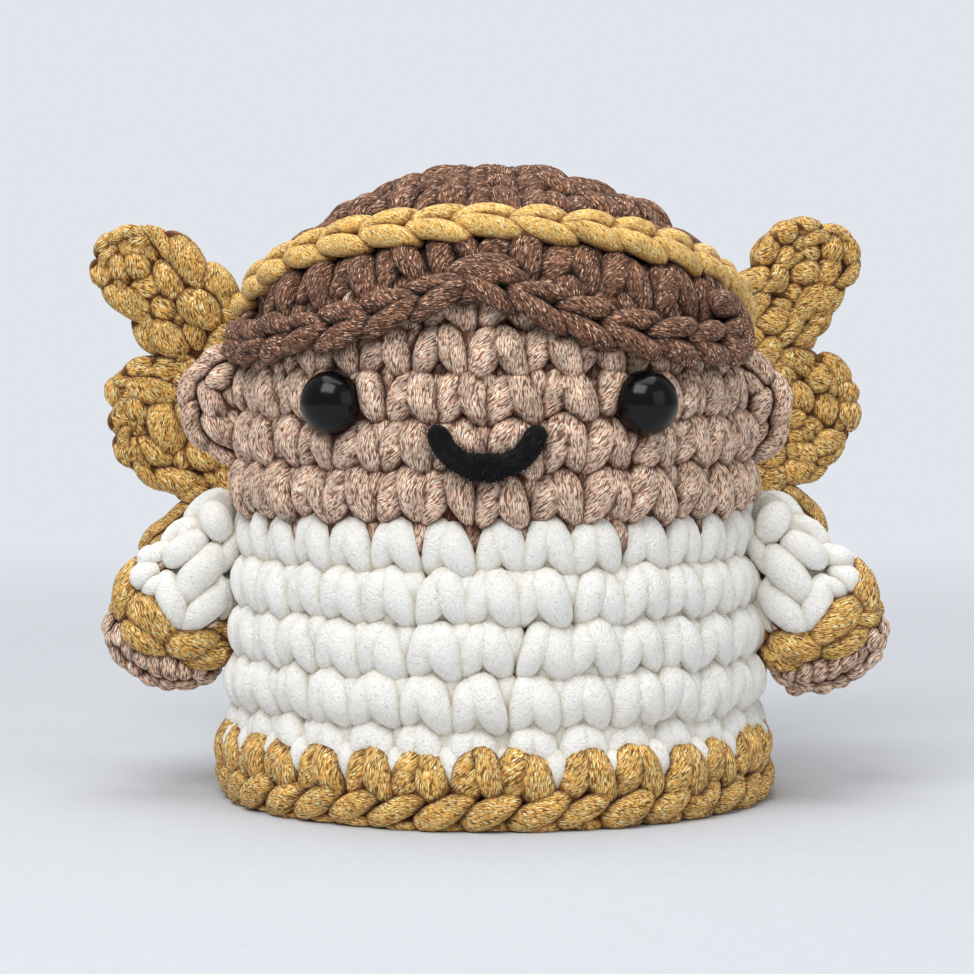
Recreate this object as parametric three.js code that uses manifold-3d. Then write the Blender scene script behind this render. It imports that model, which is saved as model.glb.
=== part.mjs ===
// A small crocheted angel doll, in millimetres with +Z up. It stands on its flat base at the origin
// and faces -Y, so its own left side is +X. It is worked in rounds as one stuffed tube: a gold base
// and hem, a white gown, a face, and the crown of the head. Hair, headband, ears, safety eyes, smile,
// arms and wings are sewn or pressed on. The arms and the wings swing on their seams.
import * as THREE from "three";
import { mergeVertices } from "three/addons/utils/BufferGeometryUtils.js";
import Module from "manifold-3d";

const wasm = await Module();
wasm.setup();

// Yarn and seams
const YARN = 4; // thickness of a knitted wall
const SEAM = 0.3; // play between two pieces that are sewn or pressed together
const OVERRUN = 3; // how far a cut runs past what it cuts
const CREASE = 0.9; // depth of the crease between two rounds of stitches
const MERGE = 0.0001; // points closer than this are one point

// Facets, as counts
const BODY_FACETS = 32;
const LIMB_FACETS = 16;
const HARD_FACETS = 16;
const CORD_FACETS = 8;
const BAND_STEPS = 48;

// The stuffed tube, from the floor up. A radius is that of the round's bulge
const BASE = { sole: 33.6, thickness: YARN };
const HEM = { foot: 38.6, ridgeRadius: 40, ridgeHeight: 4.6, radius: 39.3, height: 7.2 };
const GOWN = { roundHeight: 6.8, radii: [38.9, 38.9, 38.6, 38, 36.6] };
const FACE = { roundHeight: 6.6, radii: [37.3, 37, 36.3] };

// Hair. Its outside is half an ellipse over the crown and a straight fall at the nape. Rises, drops and
// the sink of the ellipse's centre are measured from the top of the face
const HAIR = { thickness: 3, radius: 37.2, rise: 30.5, sink: 1, crownRise: 2.6, rounds: 6 };
const HAIR_EDGE = { templeDepth: 5, templeRise: 3.2, napeDrop: 4 };
const FRINGE = { proud: 0.8, peakRise: 9.6, partingRise: 15, partingTilt: 22 };
// The headband's height at the ears, and its rise to the front and drop to the back, as shares of the crown
const BAND = { width: 5, thickness: 3.8, sideShare: 0.377, frontShare: 0.463, backShare: 0.305 };

// Ears, eyes and smile, on the head
const EAR = { seat: 36.2, depth: 3, height: 55.4, radius: 8, plate: 2.2, backTurn: 100, steps: 10 };
const EYE = { radius: 4.5, bulge: 5, height: 57.5, turn: 35, post: 1.5, postLength: 11, steps: 5 };
const WASHER = { radius: 5.5, thickness: 1.4, hub: 2.9, hubThickness: 1, play: 0.15 };
const SMILE = { halfWidth: 6.65, endHeight: 54.5, drop: 5.5, width: 3.3, thickness: 2.4, steps: 14 };
const TACK = { yarn: 0.9, fromShare: 0.37, toShare: 0.63 };

// Arms. Lengths run down the arm from the shoulder seam, widths across the doll, depths front to back
const ARM = { seat: 39.2, depth: 2, height: 42.5, splay: 22.8 };
const SLEEVE = { length: 16.8, crown: 1, width: 17.4, depth: 15.2, rounds: 3 };
const SHOULDER = { width: 6, depth: 5.6 };
const CUFF = { length: 5.6, width: 18.8, depth: 16.4 };
const HAND = { length: 6.2, width: 17.4, depth: 15, steps: 4 };

// Wings. Out is measured from the seam on the back, height from the floor
const WING = { seat: 10, thickness: 4.4, edge: 1.3, leftTurn: 27, rightTurn: 5, steps: 8 };
const UPPER_WING = {
  rootOut: -3, rootHeight: 47.6, rootRadius: 3,
  middleOut: 33, middleHeight: 63.5, middleRadius: 7.5,
  tipOut: 48, tipHeight: 77.2, tipRadius: 6.6,
};
const LOWER_WING = {
  rootOut: -3, rootHeight: 42.4, rootRadius: 3.4,
  middleOut: 22, middleHeight: 48, middleRadius: 8,
  tipOut: 41.8, tipHeight: 51.6, tipRadius: 10.8,
};
const WING_TAIL = {
  rootOut: 27, rootHeight: 41, rootRadius: 2.7,
  middleOut: 35.5, middleHeight: 37, middleRadius: 2.7,
  tipOut: 43, tipHeight: 33.3, tipRadius: 2.7,
};

// Heights and radii that follow from the sizes above
const gownTop = HEM.height + GOWN.radii.length * GOWN.roundHeight;
const faceTop = gownTop + FACE.radii.length * FACE.roundHeight;
const browRadius = FACE.radii.at(-1);
const hairCentre = faceTop - HAIR.sink;
const crownHeight = faceTop + HAIR.crownRise;
const templeHeight = faceTop + HAIR_EDGE.templeRise;
const napeHeight = faceTop - HAIR_EDGE.napeDrop;
const napeInside = browRadius + SEAM;
const napeOutside = napeInside + HAIR.thickness;
const headInset = HAIR.thickness + SEAM;
const widest = Math.max(HEM.ridgeRadius, ...GOWN.radii, ...FACE.radii);
const block = 4 * widest;
const eyeTurn = THREE.MathUtils.degToRad(EYE.turn);
const eyeFace = browRadius + SEAM; // distance of an eye's flat back from the doll's axis
const washerDepth = WASHER.thickness + WASHER.hubThickness;
const wingReach = Math.max(FACE.radii[0], GOWN.radii.at(-1)) + SEAM; // the wing seams' distance from it

// Where a round of stitches has its crease and its bulge, as shares of its height
const roundShares = [{ at: 0, crease: 1 }, { at: 0.28, crease: 0 }, { at: 0.72, crease: 0 }];

// The solids are joined and cut with manifold-3d, from closed three.js geometries and back

function solid(geometry) {
  const bare = geometry.clone();
  bare.deleteAttribute("normal");
  bare.deleteAttribute("uv");
  const merged = mergeVertices(bare, MERGE);
  const corners = merged.index.array;
  const triangles = [];
  for (let i = 0; i < corners.length; i += 3) {
    const [a, b, c] = corners.slice(i, i + 3);
    if (a !== b && b !== c && c !== a) triangles.push(a, b, c);
  }
  return new wasm.Manifold(new wasm.Mesh({
    numProp: 3,
    vertProperties: new Float32Array(merged.attributes.position.array),
    triVerts: new Uint32Array(triangles),
  }));
}

function geometryOf(shape) {
  const mesh = shape.getMesh();
  const geometry = new THREE.BufferGeometry();
  geometry.setAttribute("position", new THREE.BufferAttribute(mesh.vertProperties, 3));
  geometry.setIndex(new THREE.BufferAttribute(mesh.triVerts, 1));
  geometry.computeVertexNormals();
  return geometry;
}

function combine(how, first, others) {
  return geometryOf(others.reduce((whole, other) => whole[how](solid(other)), solid(first)));
}

const cut = (first, ...others) => combine("subtract", first, others);
const join = (first, ...others) => combine("add", first, others);
const common = (first, ...others) => combine("intersect", first, others);

// Forms that several pieces share

// A turned form about Z from points of [radius, height]
function turned(points, facets) {
  const outline = points.map(([radius, height]) => new THREE.Vector2(radius, height));
  return new THREE.LatheGeometry(outline, facets).rotateX(Math.PI / 2);
}

// A turned ring, closed from the outside over the top and back up the inside
function turnedRing(outside, inside) {
  return turned([...outside, ...inside.toReversed(), outside[0]], BODY_FACETS);
}

// A skin over a row of rings with equal numbers of points, closed at both ends
function loft(rings) {
  const count = rings[0].length;
  const last = (rings.length - 1) * count;
  const index = [];
  for (let start = 0; start < last; start += count) {
    for (let i = 0; i < count; i++) {
      const here = start + i;
      const next = start + (i + 1) % count;
      index.push(here, next, next + count, here, next + count, here + count);
    }
  }
  for (let i = 1; i < count - 1; i++) {
    index.push(0, i + 1, i);
    index.push(last, last + i, last + i + 1);
  }
  const geometry = new THREE.BufferGeometry().setFromPoints(rings.flat());
  return geometry.setIndex(index);
}

// A closed ring of points round a centre, across two half axes
function ringPoints(centre, halfA, halfB, facets) {
  return Array.from({ length: facets }, (_, i) => {
    const angle = 2 * Math.PI * i / facets;
    return centre.clone().addScaledVector(halfA, Math.cos(angle)).addScaledVector(halfB, Math.sin(angle));
  });
}

// A cord of flattened section. Its normals point away from what it lies on
function cord(points, normals, thickness, width) {
  const rings = points.map((point, i) => {
    const ahead = points[Math.min(i + 1, points.length - 1)];
    const behind = points[Math.max(i - 1, 0)];
    const along = ahead.clone().sub(behind).normalize();
    const across = along.clone().cross(normals[i]).normalize();
    const out = across.clone().cross(along).normalize();
    out.multiplyScalar(thickness / 2);
    across.multiplyScalar(width / 2);
    return ringPoints(point, out, across, CORD_FACETS);
  });
  return loft(rings);
}

// Points of a straight row of rounds, as [radius, height], with a half seam left at each end
function roundPoints(bottom, roundHeight, radii) {
  const points = radii.flatMap((radius, i) => roundShares.map(({ at, crease }) => {
    const height = bottom + (i + at) * roundHeight;
    return [radius - crease * CREASE, i + at > 0 ? height : height + SEAM / 2];
  }));
  points.push([radii.at(-1) - CREASE, bottom + radii.length * roundHeight - SEAM / 2]);
  return points;
}

// The inside of the wall of such a row: its ends, and the middle of each round
function wallPoints(bottom, roundHeight, radii) {
  const middles = radii.map((radius, i) => [radius - YARN, bottom + (i + 1 / 2) * roundHeight]);
  const top = bottom + radii.length * roundHeight;
  return [[middles[0][0], bottom + SEAM / 2], ...middles, [middles.at(-1)[0], top - SEAM / 2]];
}

// A point of the crown, a little inside the hair's outline, at an angle up from its centre
function crownPoint(inset, angle) {
  const radius = (HAIR.radius - inset) * Math.cos(angle);
  return [Math.abs(radius) < MERGE ? 0 : radius, hairCentre + (HAIR.rise - inset) * Math.sin(angle)];
}

// Points up the crown from a height to the top, in equal steps, with creases if wanted
function crownPoints(inset, fromHeight, steps, crease = 0) {
  const start = Math.asin((fromHeight - hairCentre) / (HAIR.rise - inset));
  const step = (Math.PI / 2 - start) / steps;
  const points = [];
  for (let i = 0; i < steps; i++) {
    points.push(crownPoint(inset + crease, start + i * step));
    if (crease > 0) points.push(crownPoint(inset, start + (i + 1 / 2) * step));
  }
  points.push(crownPoint(inset, Math.PI / 2));
  return points;
}

// The outside of the tube without its creases, grown by a gap
function envelope(gap) {
  const bands = [
    [HEM.ridgeRadius, 0], [HEM.ridgeRadius, HEM.ridgeHeight],
    [HEM.radius, HEM.ridgeHeight], [HEM.radius, HEM.height],
  ];
  GOWN.radii.forEach((radius, i) => {
    const low = HEM.height + i * GOWN.roundHeight;
    bands.push([radius, low], [radius, low + GOWN.roundHeight]);
  });
  FACE.radii.forEach((radius, i) => {
    const low = gownTop + i * FACE.roundHeight;
    bands.push([radius, low], [radius, low + FACE.roundHeight]);
  });
  const grown = bands.map(([radius, height]) => [radius + gap, height]);
  const crown = crownPoints(headInset - gap, faceTop + SEAM, HAIR.rounds);
  return turned([[0, 0], ...grown, ...crown], BODY_FACETS);
}

// A block that fills all below a plane through a point. Positive tips lift its back and its left
function blockBelow(point, tipBack, tipLeft) {
  const box = new THREE.BoxGeometry(block, block, block).translate(0, 0, -block / 2);
  return box.rotateX(tipBack).rotateY(-tipLeft).translate(...point);
}

// A block that fills all in front of the temples
function blockInFront(gap) {
  const box = new THREE.BoxGeometry(block, block, block);
  return box.translate(0, -block / 2 - HAIR_EDGE.templeDepth - gap, templeHeight);
}

// A cylinder through the wall at an eye, between two distances from the doll's axis
function eyeBore(side, radius, from, to) {
  const cylinder = new THREE.CylinderGeometry(radius, radius, to - from, HARD_FACETS);
  return cylinder.translate(0, -(from + to) / 2, EYE.height).rotateZ(side * eyeTurn);
}

// The washer is pushed up the post until its rim meets the wall, which leans in at its top
function washerFace() {
  const wall = headWall();
  const top = EYE.height + WASHER.radius;
  const above = wall.findIndex(([, height]) => height > top);
  const [lowRadius, low] = wall[above - 1];
  const [highRadius, high] = wall[above];
  const leaning = lowRadius + (highRadius - lowRadius) * (top - low) / (high - low);
  const curved = Math.sqrt((browRadius - YARN) ** 2 - WASHER.radius ** 2);
  return Math.min(leaning, curved) - SEAM;
}

// The tube

function baseDisc() {
  const radius = HEM.radius - YARN - SEAM;
  const outline = [
    [0, 0], [BASE.sole, 0], [radius, BASE.thickness / 3], [radius, BASE.thickness * 2 / 3],
    [BASE.sole, BASE.thickness], [0, BASE.thickness],
  ];
  return turned(outline, BODY_FACETS);
}

function hemKnit() {
  const inside = HEM.radius - YARN;
  const middle = (HEM.ridgeHeight + HEM.height) / 2;
  const outside = [
    [HEM.foot, 0], [HEM.ridgeRadius, HEM.ridgeHeight / 3], [HEM.ridgeRadius, HEM.ridgeHeight * 2 / 3],
    [HEM.radius - CREASE, HEM.ridgeHeight], [HEM.radius, middle],
    [HEM.radius - CREASE, HEM.height - SEAM / 2],
  ];
  return turnedRing(outside, [[inside, 0], [inside, HEM.height - SEAM / 2]]);
}

function gownKnit() {
  const rounds = [HEM.height, GOWN.roundHeight, GOWN.radii];
  return turnedRing(roundPoints(...rounds), wallPoints(...rounds));
}

// The inside of the head, from the neck to the top
function headWall() {
  const crown = crownPoints(headInset + YARN, faceTop + YARN / 2, HAIR.rounds - 1);
  return [...wallPoints(gownTop, FACE.roundHeight, FACE.radii).slice(0, -1), ...crown];
}

function headKnit() {
  const face = roundPoints(gownTop, FACE.roundHeight, FACE.radii);
  const crown = crownPoints(headInset, faceTop + SEAM, HAIR.rounds);
  const knit = turned([...headWall().toReversed(), ...face, ...crown], BODY_FACETS);
  const bores = [1, -1].flatMap((side) => [
    eyeBore(side, EYE.post + SEAM, washerFace() - OVERRUN, browRadius + OVERRUN),
    eyeBore(side, EYE.radius + SEAM, browRadius, browRadius + OVERRUN),
  ]);
  return cut(knit, ...bores);
}

function stuffing() {
  const hemInside = HEM.radius - YARN;
  const wall = [
    [hemInside, BASE.thickness], [hemInside, HEM.height],
    ...wallPoints(HEM.height, GOWN.roundHeight, GOWN.radii),
    ...headWall().slice(0, -1),
  ];
  const bottom = BASE.thickness + SEAM;
  const outside = wall.map(([radius, height]) => [radius - SEAM, Math.max(height, bottom)]);
  const top = headWall().at(-1)[1] - SEAM;
  const filling = turned([[0, bottom], ...outside, [0, top]], BODY_FACETS);
  const pockets = [1, -1].flatMap((side) => [
    eyeBore(side, WASHER.radius + SEAM, washerFace() - washerDepth - SEAM, browRadius),
    eyeBore(side, EYE.post + SEAM, eyeFace - EYE.postLength - SEAM, browRadius),
  ]);
  return cut(filling, ...pockets);
}

// Hair and headband

// Points of the hair's outside from the nape to the top, grown by a gap
function hairOutline(grow, crease) {
  const fall = napeOutside + grow;
  const crown = crownPoints(-grow, crownHeight, HAIR.rounds, crease);
  return [[fall, napeHeight - OVERRUN], [fall, hairCentre], ...crown];
}

function hairShell(proud) {
  const inside = [
    [napeInside, napeHeight - OVERRUN], [napeInside, faceTop + SEAM],
    ...crownPoints(HAIR.thickness, faceTop + SEAM, HAIR.rounds),
  ];
  return turned([...inside.toReversed(), ...hairOutline(proud, CREASE)], BODY_FACETS);
}

// All the room that the hair and the head take up, grown by a gap
function hairRoom(grow) {
  const outline = hairOutline(grow, 0);
  return turned([[0, outline[0][1]], ...outline], BODY_FACETS);
}

// The hair's outside radius at a height
function hairRadius(height) {
  const up = (level) => (level - hairCentre) / HAIR.rise;
  const crown = (level) => HAIR.radius * Math.sqrt(1 - up(level) ** 2);
  if (height >= crownHeight) return crown(height);
  const share = Math.max(0, (height - hairCentre) / (crownHeight - hairCentre));
  return THREE.MathUtils.lerp(napeOutside, crown(crownHeight), share);
}

// The height of the headband's middle over a depth, and the same a little lower or higher
function bandHeight(y) {
  const share = BAND.sideShare - y / HAIR.radius * (y < 0 ? BAND.frontShare : BAND.backShare);
  return hairCentre + HAIR.rise * share;
}

// A block under the headband's front, lowered by a drop
function underBand(drop) {
  const slope = Math.atan(BAND.frontShare * HAIR.rise / HAIR.radius);
  return blockBelow([0, 0, bandHeight(0) - drop], -slope, 0);
}

function hairCap() {
  const fall = (templeHeight - napeHeight) / (HAIR_EDGE.templeDepth + napeOutside);
  const edge = blockBelow([0, -HAIR_EDGE.templeDepth, templeHeight], -Math.atan(fall), 0);
  const forehead = common(blockInFront(0), underBand(BAND.width / 2));
  return cut(hairShell(0), edge, forehead);
}

function fringe(side) {
  const slope = Math.atan((FRINGE.peakRise - HAIR_EDGE.templeRise) / HAIR.radius);
  const forehead = common(blockInFront(SEAM), underBand(BAND.width / 2 + SEAM));
  const brow = blockBelow([0, 0, faceTop + FRINGE.peakRise], 0, -side * slope);
  const partingTilt = THREE.MathUtils.degToRad(FRINGE.partingTilt) - side * Math.PI / 2;
  const parting = blockBelow([side * SEAM / 2, 0, faceTop + FRINGE.partingRise], 0, partingTilt);
  return cut(common(hairShell(FRINGE.proud), forehead), brow, parting);
}

// Where the headband's middle lies in a direction from the front, and the way out of the hair there
function bandPlace(turn) {
  let radius = HAIR.radius;
  for (let i = 0; i < BAND_STEPS; i++) radius = hairRadius(bandHeight(-radius * Math.cos(turn)));
  const height = bandHeight(-radius * Math.cos(turn));
  const rise = (hairRadius(height - BAND.width / 2) - hairRadius(height + BAND.width / 2)) / BAND.width;
  const normal = new THREE.Vector3(Math.sin(turn), -Math.cos(turn), rise).normalize();
  const point = new THREE.Vector3(radius * Math.sin(turn), -radius * Math.cos(turn), height);
  return { point: point.addScaledVector(normal, BAND.thickness / 2), normal };
}

// The headband runs right round the head, and its two ends meet at the back
function headband() {
  const back = Math.PI - SEAM / HAIR.radius;
  const places = [];
  for (let i = 0; i <= BAND_STEPS; i++) places.push(bandPlace(back * (2 * i / BAND_STEPS - 1)));
  const points = places.map(({ point }) => point);
  const normals = places.map(({ normal }) => normal);
  return cut(cord(points, normals, BAND.thickness, BAND.width), hairRoom(SEAM));
}

// Ears: a rim of yarn round half a disc, sewn flat on the side of the head

function ear(side) {
  const middle = new THREE.Vector3(side * EAR.seat, -EAR.depth, EAR.height);
  const reach = EAR.radius - YARN / 2;
  const turn = THREE.MathUtils.degToRad(EAR.backTurn);
  const points = [];
  for (let i = 0; i <= EAR.steps; i++) {
    const angle = turn * (2 * i / EAR.steps - 1);
    const out = new THREE.Vector3(side * Math.cos(angle), 0, Math.sin(angle));
    points.push(middle.clone().addScaledVector(out, reach));
  }
  const rim = cord(points, points.map(() => new THREE.Vector3(0, -1, 0)), YARN, YARN);
  const cup = new THREE.CylinderGeometry(reach, reach, EAR.plate, LIMB_FACETS);
  cup.translate(middle.x, middle.y + (YARN - EAR.plate) / 2, middle.z);
  return cut(join(rim, cup), envelope(SEAM));
}

// Safety eyes: a domed head on a post, held by a washer inside the head. Both point along -Y here

function eye() {
  const centre = EYE.bulge - EYE.radius;
  const rim = Math.acos(-centre / EYE.radius);
  const dome = Array.from({ length: EYE.steps }, (_, i) => {
    const angle = rim * (1 - i / EYE.steps);
    return [EYE.radius * Math.sin(angle), centre + EYE.radius * Math.cos(angle)];
  });
  const post = [[0, -EYE.postLength], [EYE.post, -EYE.postLength], [EYE.post, 0]];
  return turned([...post, ...dome, [0, EYE.bulge]], HARD_FACETS).rotateX(Math.PI / 2);
}

function washer() {
  const bore = EYE.post + WASHER.play;
  const outline = [
    [bore, -washerDepth], [WASHER.hub, -washerDepth], [WASHER.hub, -WASHER.thickness],
    [WASHER.radius, -WASHER.thickness], [WASHER.radius, 0], [bore, 0], [bore, -washerDepth],
  ];
  return turned(outline, HARD_FACETS).rotateX(Math.PI / 2);
}

// The smile: one strand of black yarn laid on the face, held by a stitch over its lowest point

function smileCord(thickness, width, fromShare, toShare) {
  const radius = FACE.radii[0] + SEAM + SMILE.thickness / 2;
  const points = [];
  const normals = [];
  for (let i = 0; i <= SMILE.steps; i++) {
    const angle = Math.PI * (fromShare + (toShare - fromShare) * i / SMILE.steps);
    const across = -SMILE.halfWidth * Math.cos(angle) / radius;
    const normal = new THREE.Vector3(Math.sin(across), -Math.cos(across), 0);
    points.push(normal.clone().multiplyScalar(radius).setZ(SMILE.endHeight - SMILE.drop * Math.sin(angle)));
    normals.push(normal);
  }
  return cord(points, normals, thickness, width);
}

const smileStrand = () => smileCord(SMILE.thickness, SMILE.width, 0, 1);

function smileTack() {
  const around = 2 * (SEAM + TACK.yarn);
  const outer = smileCord(SMILE.thickness + around, SMILE.width + around, TACK.fromShare, TACK.toShare);
  const strand = smileCord(SMILE.thickness + 2 * SEAM, SMILE.width + 2 * SEAM, 0, 1);
  return cut(outer, strand, envelope(SEAM));
}

// Arms: a flared sleeve, a cuff and a hand, hanging along -Z from the shoulder seam

function armRing(along, width, depth) {
  const across = new THREE.Vector3(width / 2, 0, 0);
  const back = new THREE.Vector3(0, depth / 2, 0);
  return ringPoints(new THREE.Vector3(0, 0, -along), across, back, LIMB_FACETS);
}

function sleeve() {
  const rings = [armRing(-SLEEVE.crown, SHOULDER.width / 2, SHOULDER.depth / 2)];
  const add = (share, crease) => {
    const width = SHOULDER.width + (SLEEVE.width - SHOULDER.width) * share - 2 * crease * CREASE;
    const depth = SHOULDER.depth + (SLEEVE.depth - SHOULDER.depth) * share - 2 * crease * CREASE;
    rings.push(armRing(SLEEVE.length * share, width, depth));
  };
  add(0, 0);
  for (let i = 0; i < SLEEVE.rounds; i++) {
    for (const { at } of roundShares.slice(1)) add((i + at) / SLEEVE.rounds, 0);
    add((i + 1) / SLEEVE.rounds, 1);
  }
  return loft(rings.toReversed());
}

function cuff() {
  const start = SLEEVE.length + SEAM;
  const end = SLEEVE.length + CUFF.length;
  const rings = [{ at: 0, crease: 1 }, ...roundShares.slice(1), { at: 1, crease: 1 }];
  return loft(rings.toReversed().map(({ at, crease }) => {
    const pinch = 2 * crease * CREASE;
    return armRing(start + at * (end - start), CUFF.width - pinch, CUFF.depth - pinch);
  }));
}

function hand() {
  const start = SLEEVE.length + CUFF.length + SEAM;
  const rings = [armRing(start, HAND.width - 2 * CREASE, HAND.depth - 2 * CREASE)];
  for (let i = 1; i <= HAND.steps; i++) {
    const angle = Math.PI / 2 * i / (HAND.steps + 1);
    const share = Math.cos(angle);
    rings.push(armRing(start + HAND.length * Math.sin(angle), HAND.width * share, HAND.depth * share));
  }
  return loft(rings.toReversed());
}

// Wings: an upper lobe, a lower lobe and a tail of doubled cord, with their fronts in the plane Y = 0

// The outline of a lobe: circles along a bent line from its root to its tip, grown by a gap
function lobeShape(lobe, side, grow) {
  const line = new THREE.SplineCurve([
    new THREE.Vector2(lobe.rootOut, lobe.rootHeight),
    new THREE.Vector2(lobe.middleOut, lobe.middleHeight),
    new THREE.Vector2(lobe.tipOut, lobe.tipHeight),
  ]);
  const radiusAt = (share) => grow + (share < 1 / 2
    ? THREE.MathUtils.lerp(lobe.rootRadius, lobe.middleRadius, 2 * share)
    : THREE.MathUtils.lerp(lobe.middleRadius, lobe.tipRadius, 2 * share - 1));
  // A point beside the line, at an angle from the way ahead
  const beside = (share, angle) => {
    const ahead = line.getTangent(share).rotateAround(new THREE.Vector2(), angle);
    return line.getPoint(share).addScaledVector(ahead, radiusAt(share));
  };
  const shares = Array.from({ length: WING.steps + 1 }, (_, i) => i / WING.steps);
  const above = shares.map((share) => beside(share, Math.PI / 2));
  const tip = shares.slice(1, -1).map((share) => beside(1, Math.PI * (1 / 2 - share)));
  const below = shares.toReversed().map((share) => beside(share, -Math.PI / 2));
  const outline = [...above, ...tip, ...below];
  return new THREE.Shape(outline.map(({ x, y }) => new THREE.Vector2(side * x, y)));
}

// A lobe as a plate with rounded edges
function lobe(form, side) {
  const plate = new THREE.ExtrudeGeometry(lobeShape(form, side, 0), {
    depth: WING.thickness - 2 * WING.edge,
    bevelThickness: WING.edge,
    bevelSize: WING.edge,
    bevelOffset: -WING.edge,
    bevelSegments: 2,
  });
  return plate.rotateX(Math.PI / 2).translate(0, WING.thickness - WING.edge, 0);
}

// The room that a lobe takes from its neighbours
function lobeRoom(form, side) {
  const depth = WING.thickness + 2 * OVERRUN;
  const room = new THREE.ExtrudeGeometry(lobeShape(form, side, SEAM), { depth, bevelEnabled: false });
  return room.rotateX(Math.PI / 2).translate(0, WING.thickness + OVERRUN, 0);
}

// Materials, coloured as the yarns

function yarn(color, roughness) {
  return new THREE.MeshStandardMaterial({ color, roughness, metalness: 0 });
}

const skinYarn = yarn(0xb8917f, 0.7);
const whiteYarn = yarn(0xeeeeea, 0.85);
const goldYarn = yarn(0xcc9c4e, 0.6);
const brownYarn = yarn(0x62443b, 0.7);
const blackYarn = yarn(0x151519, 0.9);
const filling = yarn(0xf2f0ea, 1);
const eyePlastic = new THREE.MeshStandardMaterial({ color: 0x050507, roughness: 0.08, metalness: 0 });
const washerPlastic = new THREE.MeshStandardMaterial({ color: 0xe8e6df, roughness: 0.5, metalness: 0 });

// The doll

const doll = new THREE.Group();

function piece(parent, name, geometry, material) {
  const mesh = new THREE.Mesh(geometryOf(solid(geometry)), material);
  mesh.name = name;
  parent.add(mesh);
  return mesh;
}

function addArm(side, word) {
  const arm = new THREE.Group();
  arm.position.set(side * ARM.seat, -ARM.depth, ARM.height);
  arm.rotation.y = -side * THREE.MathUtils.degToRad(ARM.splay);
  arm.updateMatrix();
  const body = envelope(SEAM).applyMatrix4(arm.matrix.clone().invert());
  piece(arm, `sleeve_${word}`, cut(sleeve(), body), whiteYarn);
  piece(arm, `cuff_${word}`, cut(cuff(), body), goldYarn);
  piece(arm, `hand_${word}`, cut(hand(), body), skinYarn);
  doll.add(arm);
}

function addWing(side, word, restTurn) {
  const wing = new THREE.Group();
  wing.position.set(side * WING.seat, Math.sqrt(wingReach ** 2 - WING.seat ** 2), 0);
  wing.rotation.z = side * THREE.MathUtils.degToRad(restTurn);
  const pastSeam = new THREE.BoxGeometry(block, block, block).translate(-side * block / 2, 0, block / 2);
  const upper = lobeRoom(UPPER_WING, side);
  const lower = lobeRoom(LOWER_WING, side);
  piece(wing, `wing_${word}_upper`, cut(lobe(UPPER_WING, side), pastSeam), goldYarn);
  piece(wing, `wing_${word}_lower`, cut(lobe(LOWER_WING, side), pastSeam, upper), goldYarn);
  piece(wing, `wing_${word}_tail`, cut(lobe(WING_TAIL, side), lower), goldYarn);
  doll.add(wing);
}

function addEye(side, word) {
  const socket = new THREE.Group();
  socket.rotation.z = side * eyeTurn;
  piece(socket, `eye_${word}`, eye(), eyePlastic).position.set(0, -eyeFace, EYE.height);
  piece(socket, `eye_washer_${word}`, washer(), washerPlastic).position.set(0, -washerFace(), EYE.height);
  doll.add(socket);
}

piece(doll, "base_disc", baseDisc(), goldYarn);
piece(doll, "hem_knit", hemKnit(), goldYarn);
piece(doll, "gown_knit", gownKnit(), whiteYarn);
piece(doll, "head_knit", headKnit(), skinYarn);
piece(doll, "stuffing", stuffing(), filling);
piece(doll, "hair_cap", hairCap(), brownYarn);
piece(doll, "headband", headband(), goldYarn);
piece(doll, "smile_strand", smileStrand(), blackYarn);
piece(doll, "smile_tack", smileTack(), blackYarn);
for (const [side, word] of [[1, "left"], [-1, "right"]]) {
  piece(doll, `fringe_${word}`, fringe(side), brownYarn);
  piece(doll, `ear_${word}`, ear(side), skinYarn);
  addEye(side, word);
  addArm(side, word);
}
addWing(1, "left", WING.leftTurn);
addWing(-1, "right", WING.rightTurn);

export default doll;
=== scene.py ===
import math

import bmesh
import bpy
import numpy as np
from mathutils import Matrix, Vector
from mathutils.bvhtree import BVHTree


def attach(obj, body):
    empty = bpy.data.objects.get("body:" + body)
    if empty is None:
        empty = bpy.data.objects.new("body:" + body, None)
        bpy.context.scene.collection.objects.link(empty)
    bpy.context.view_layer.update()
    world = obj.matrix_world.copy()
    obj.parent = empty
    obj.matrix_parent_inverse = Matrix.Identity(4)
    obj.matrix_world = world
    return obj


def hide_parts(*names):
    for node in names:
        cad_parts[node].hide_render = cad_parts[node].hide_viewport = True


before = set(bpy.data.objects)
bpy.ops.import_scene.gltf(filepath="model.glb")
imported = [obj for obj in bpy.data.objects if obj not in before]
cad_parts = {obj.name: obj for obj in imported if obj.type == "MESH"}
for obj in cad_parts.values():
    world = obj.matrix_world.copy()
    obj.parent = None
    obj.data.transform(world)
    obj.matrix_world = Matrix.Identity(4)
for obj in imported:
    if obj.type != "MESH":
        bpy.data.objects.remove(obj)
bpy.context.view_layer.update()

# Sizes are in millimetres until a mesh is made, and the yarn's pattern is laid out in centimetres
MM = 0.001
CM = 10
TURN = 2 * math.pi

# Which way along X each side of the doll lies
WAY = {"left": 1, "right": -1}

# The camera stands a little to the doll's left and looks slightly down
CAMERA = {"distance": 481, "azimuth": 1.6, "height": 72.8, "pitch": 3.40, "pan": 0.14, "lens": 122.53,
          "clip": (0.01, 20)}


def add_object(name, data):
    thing = bpy.data.objects.new(name, data)
    bpy.context.scene.collection.objects.link(thing)
    return thing


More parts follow.
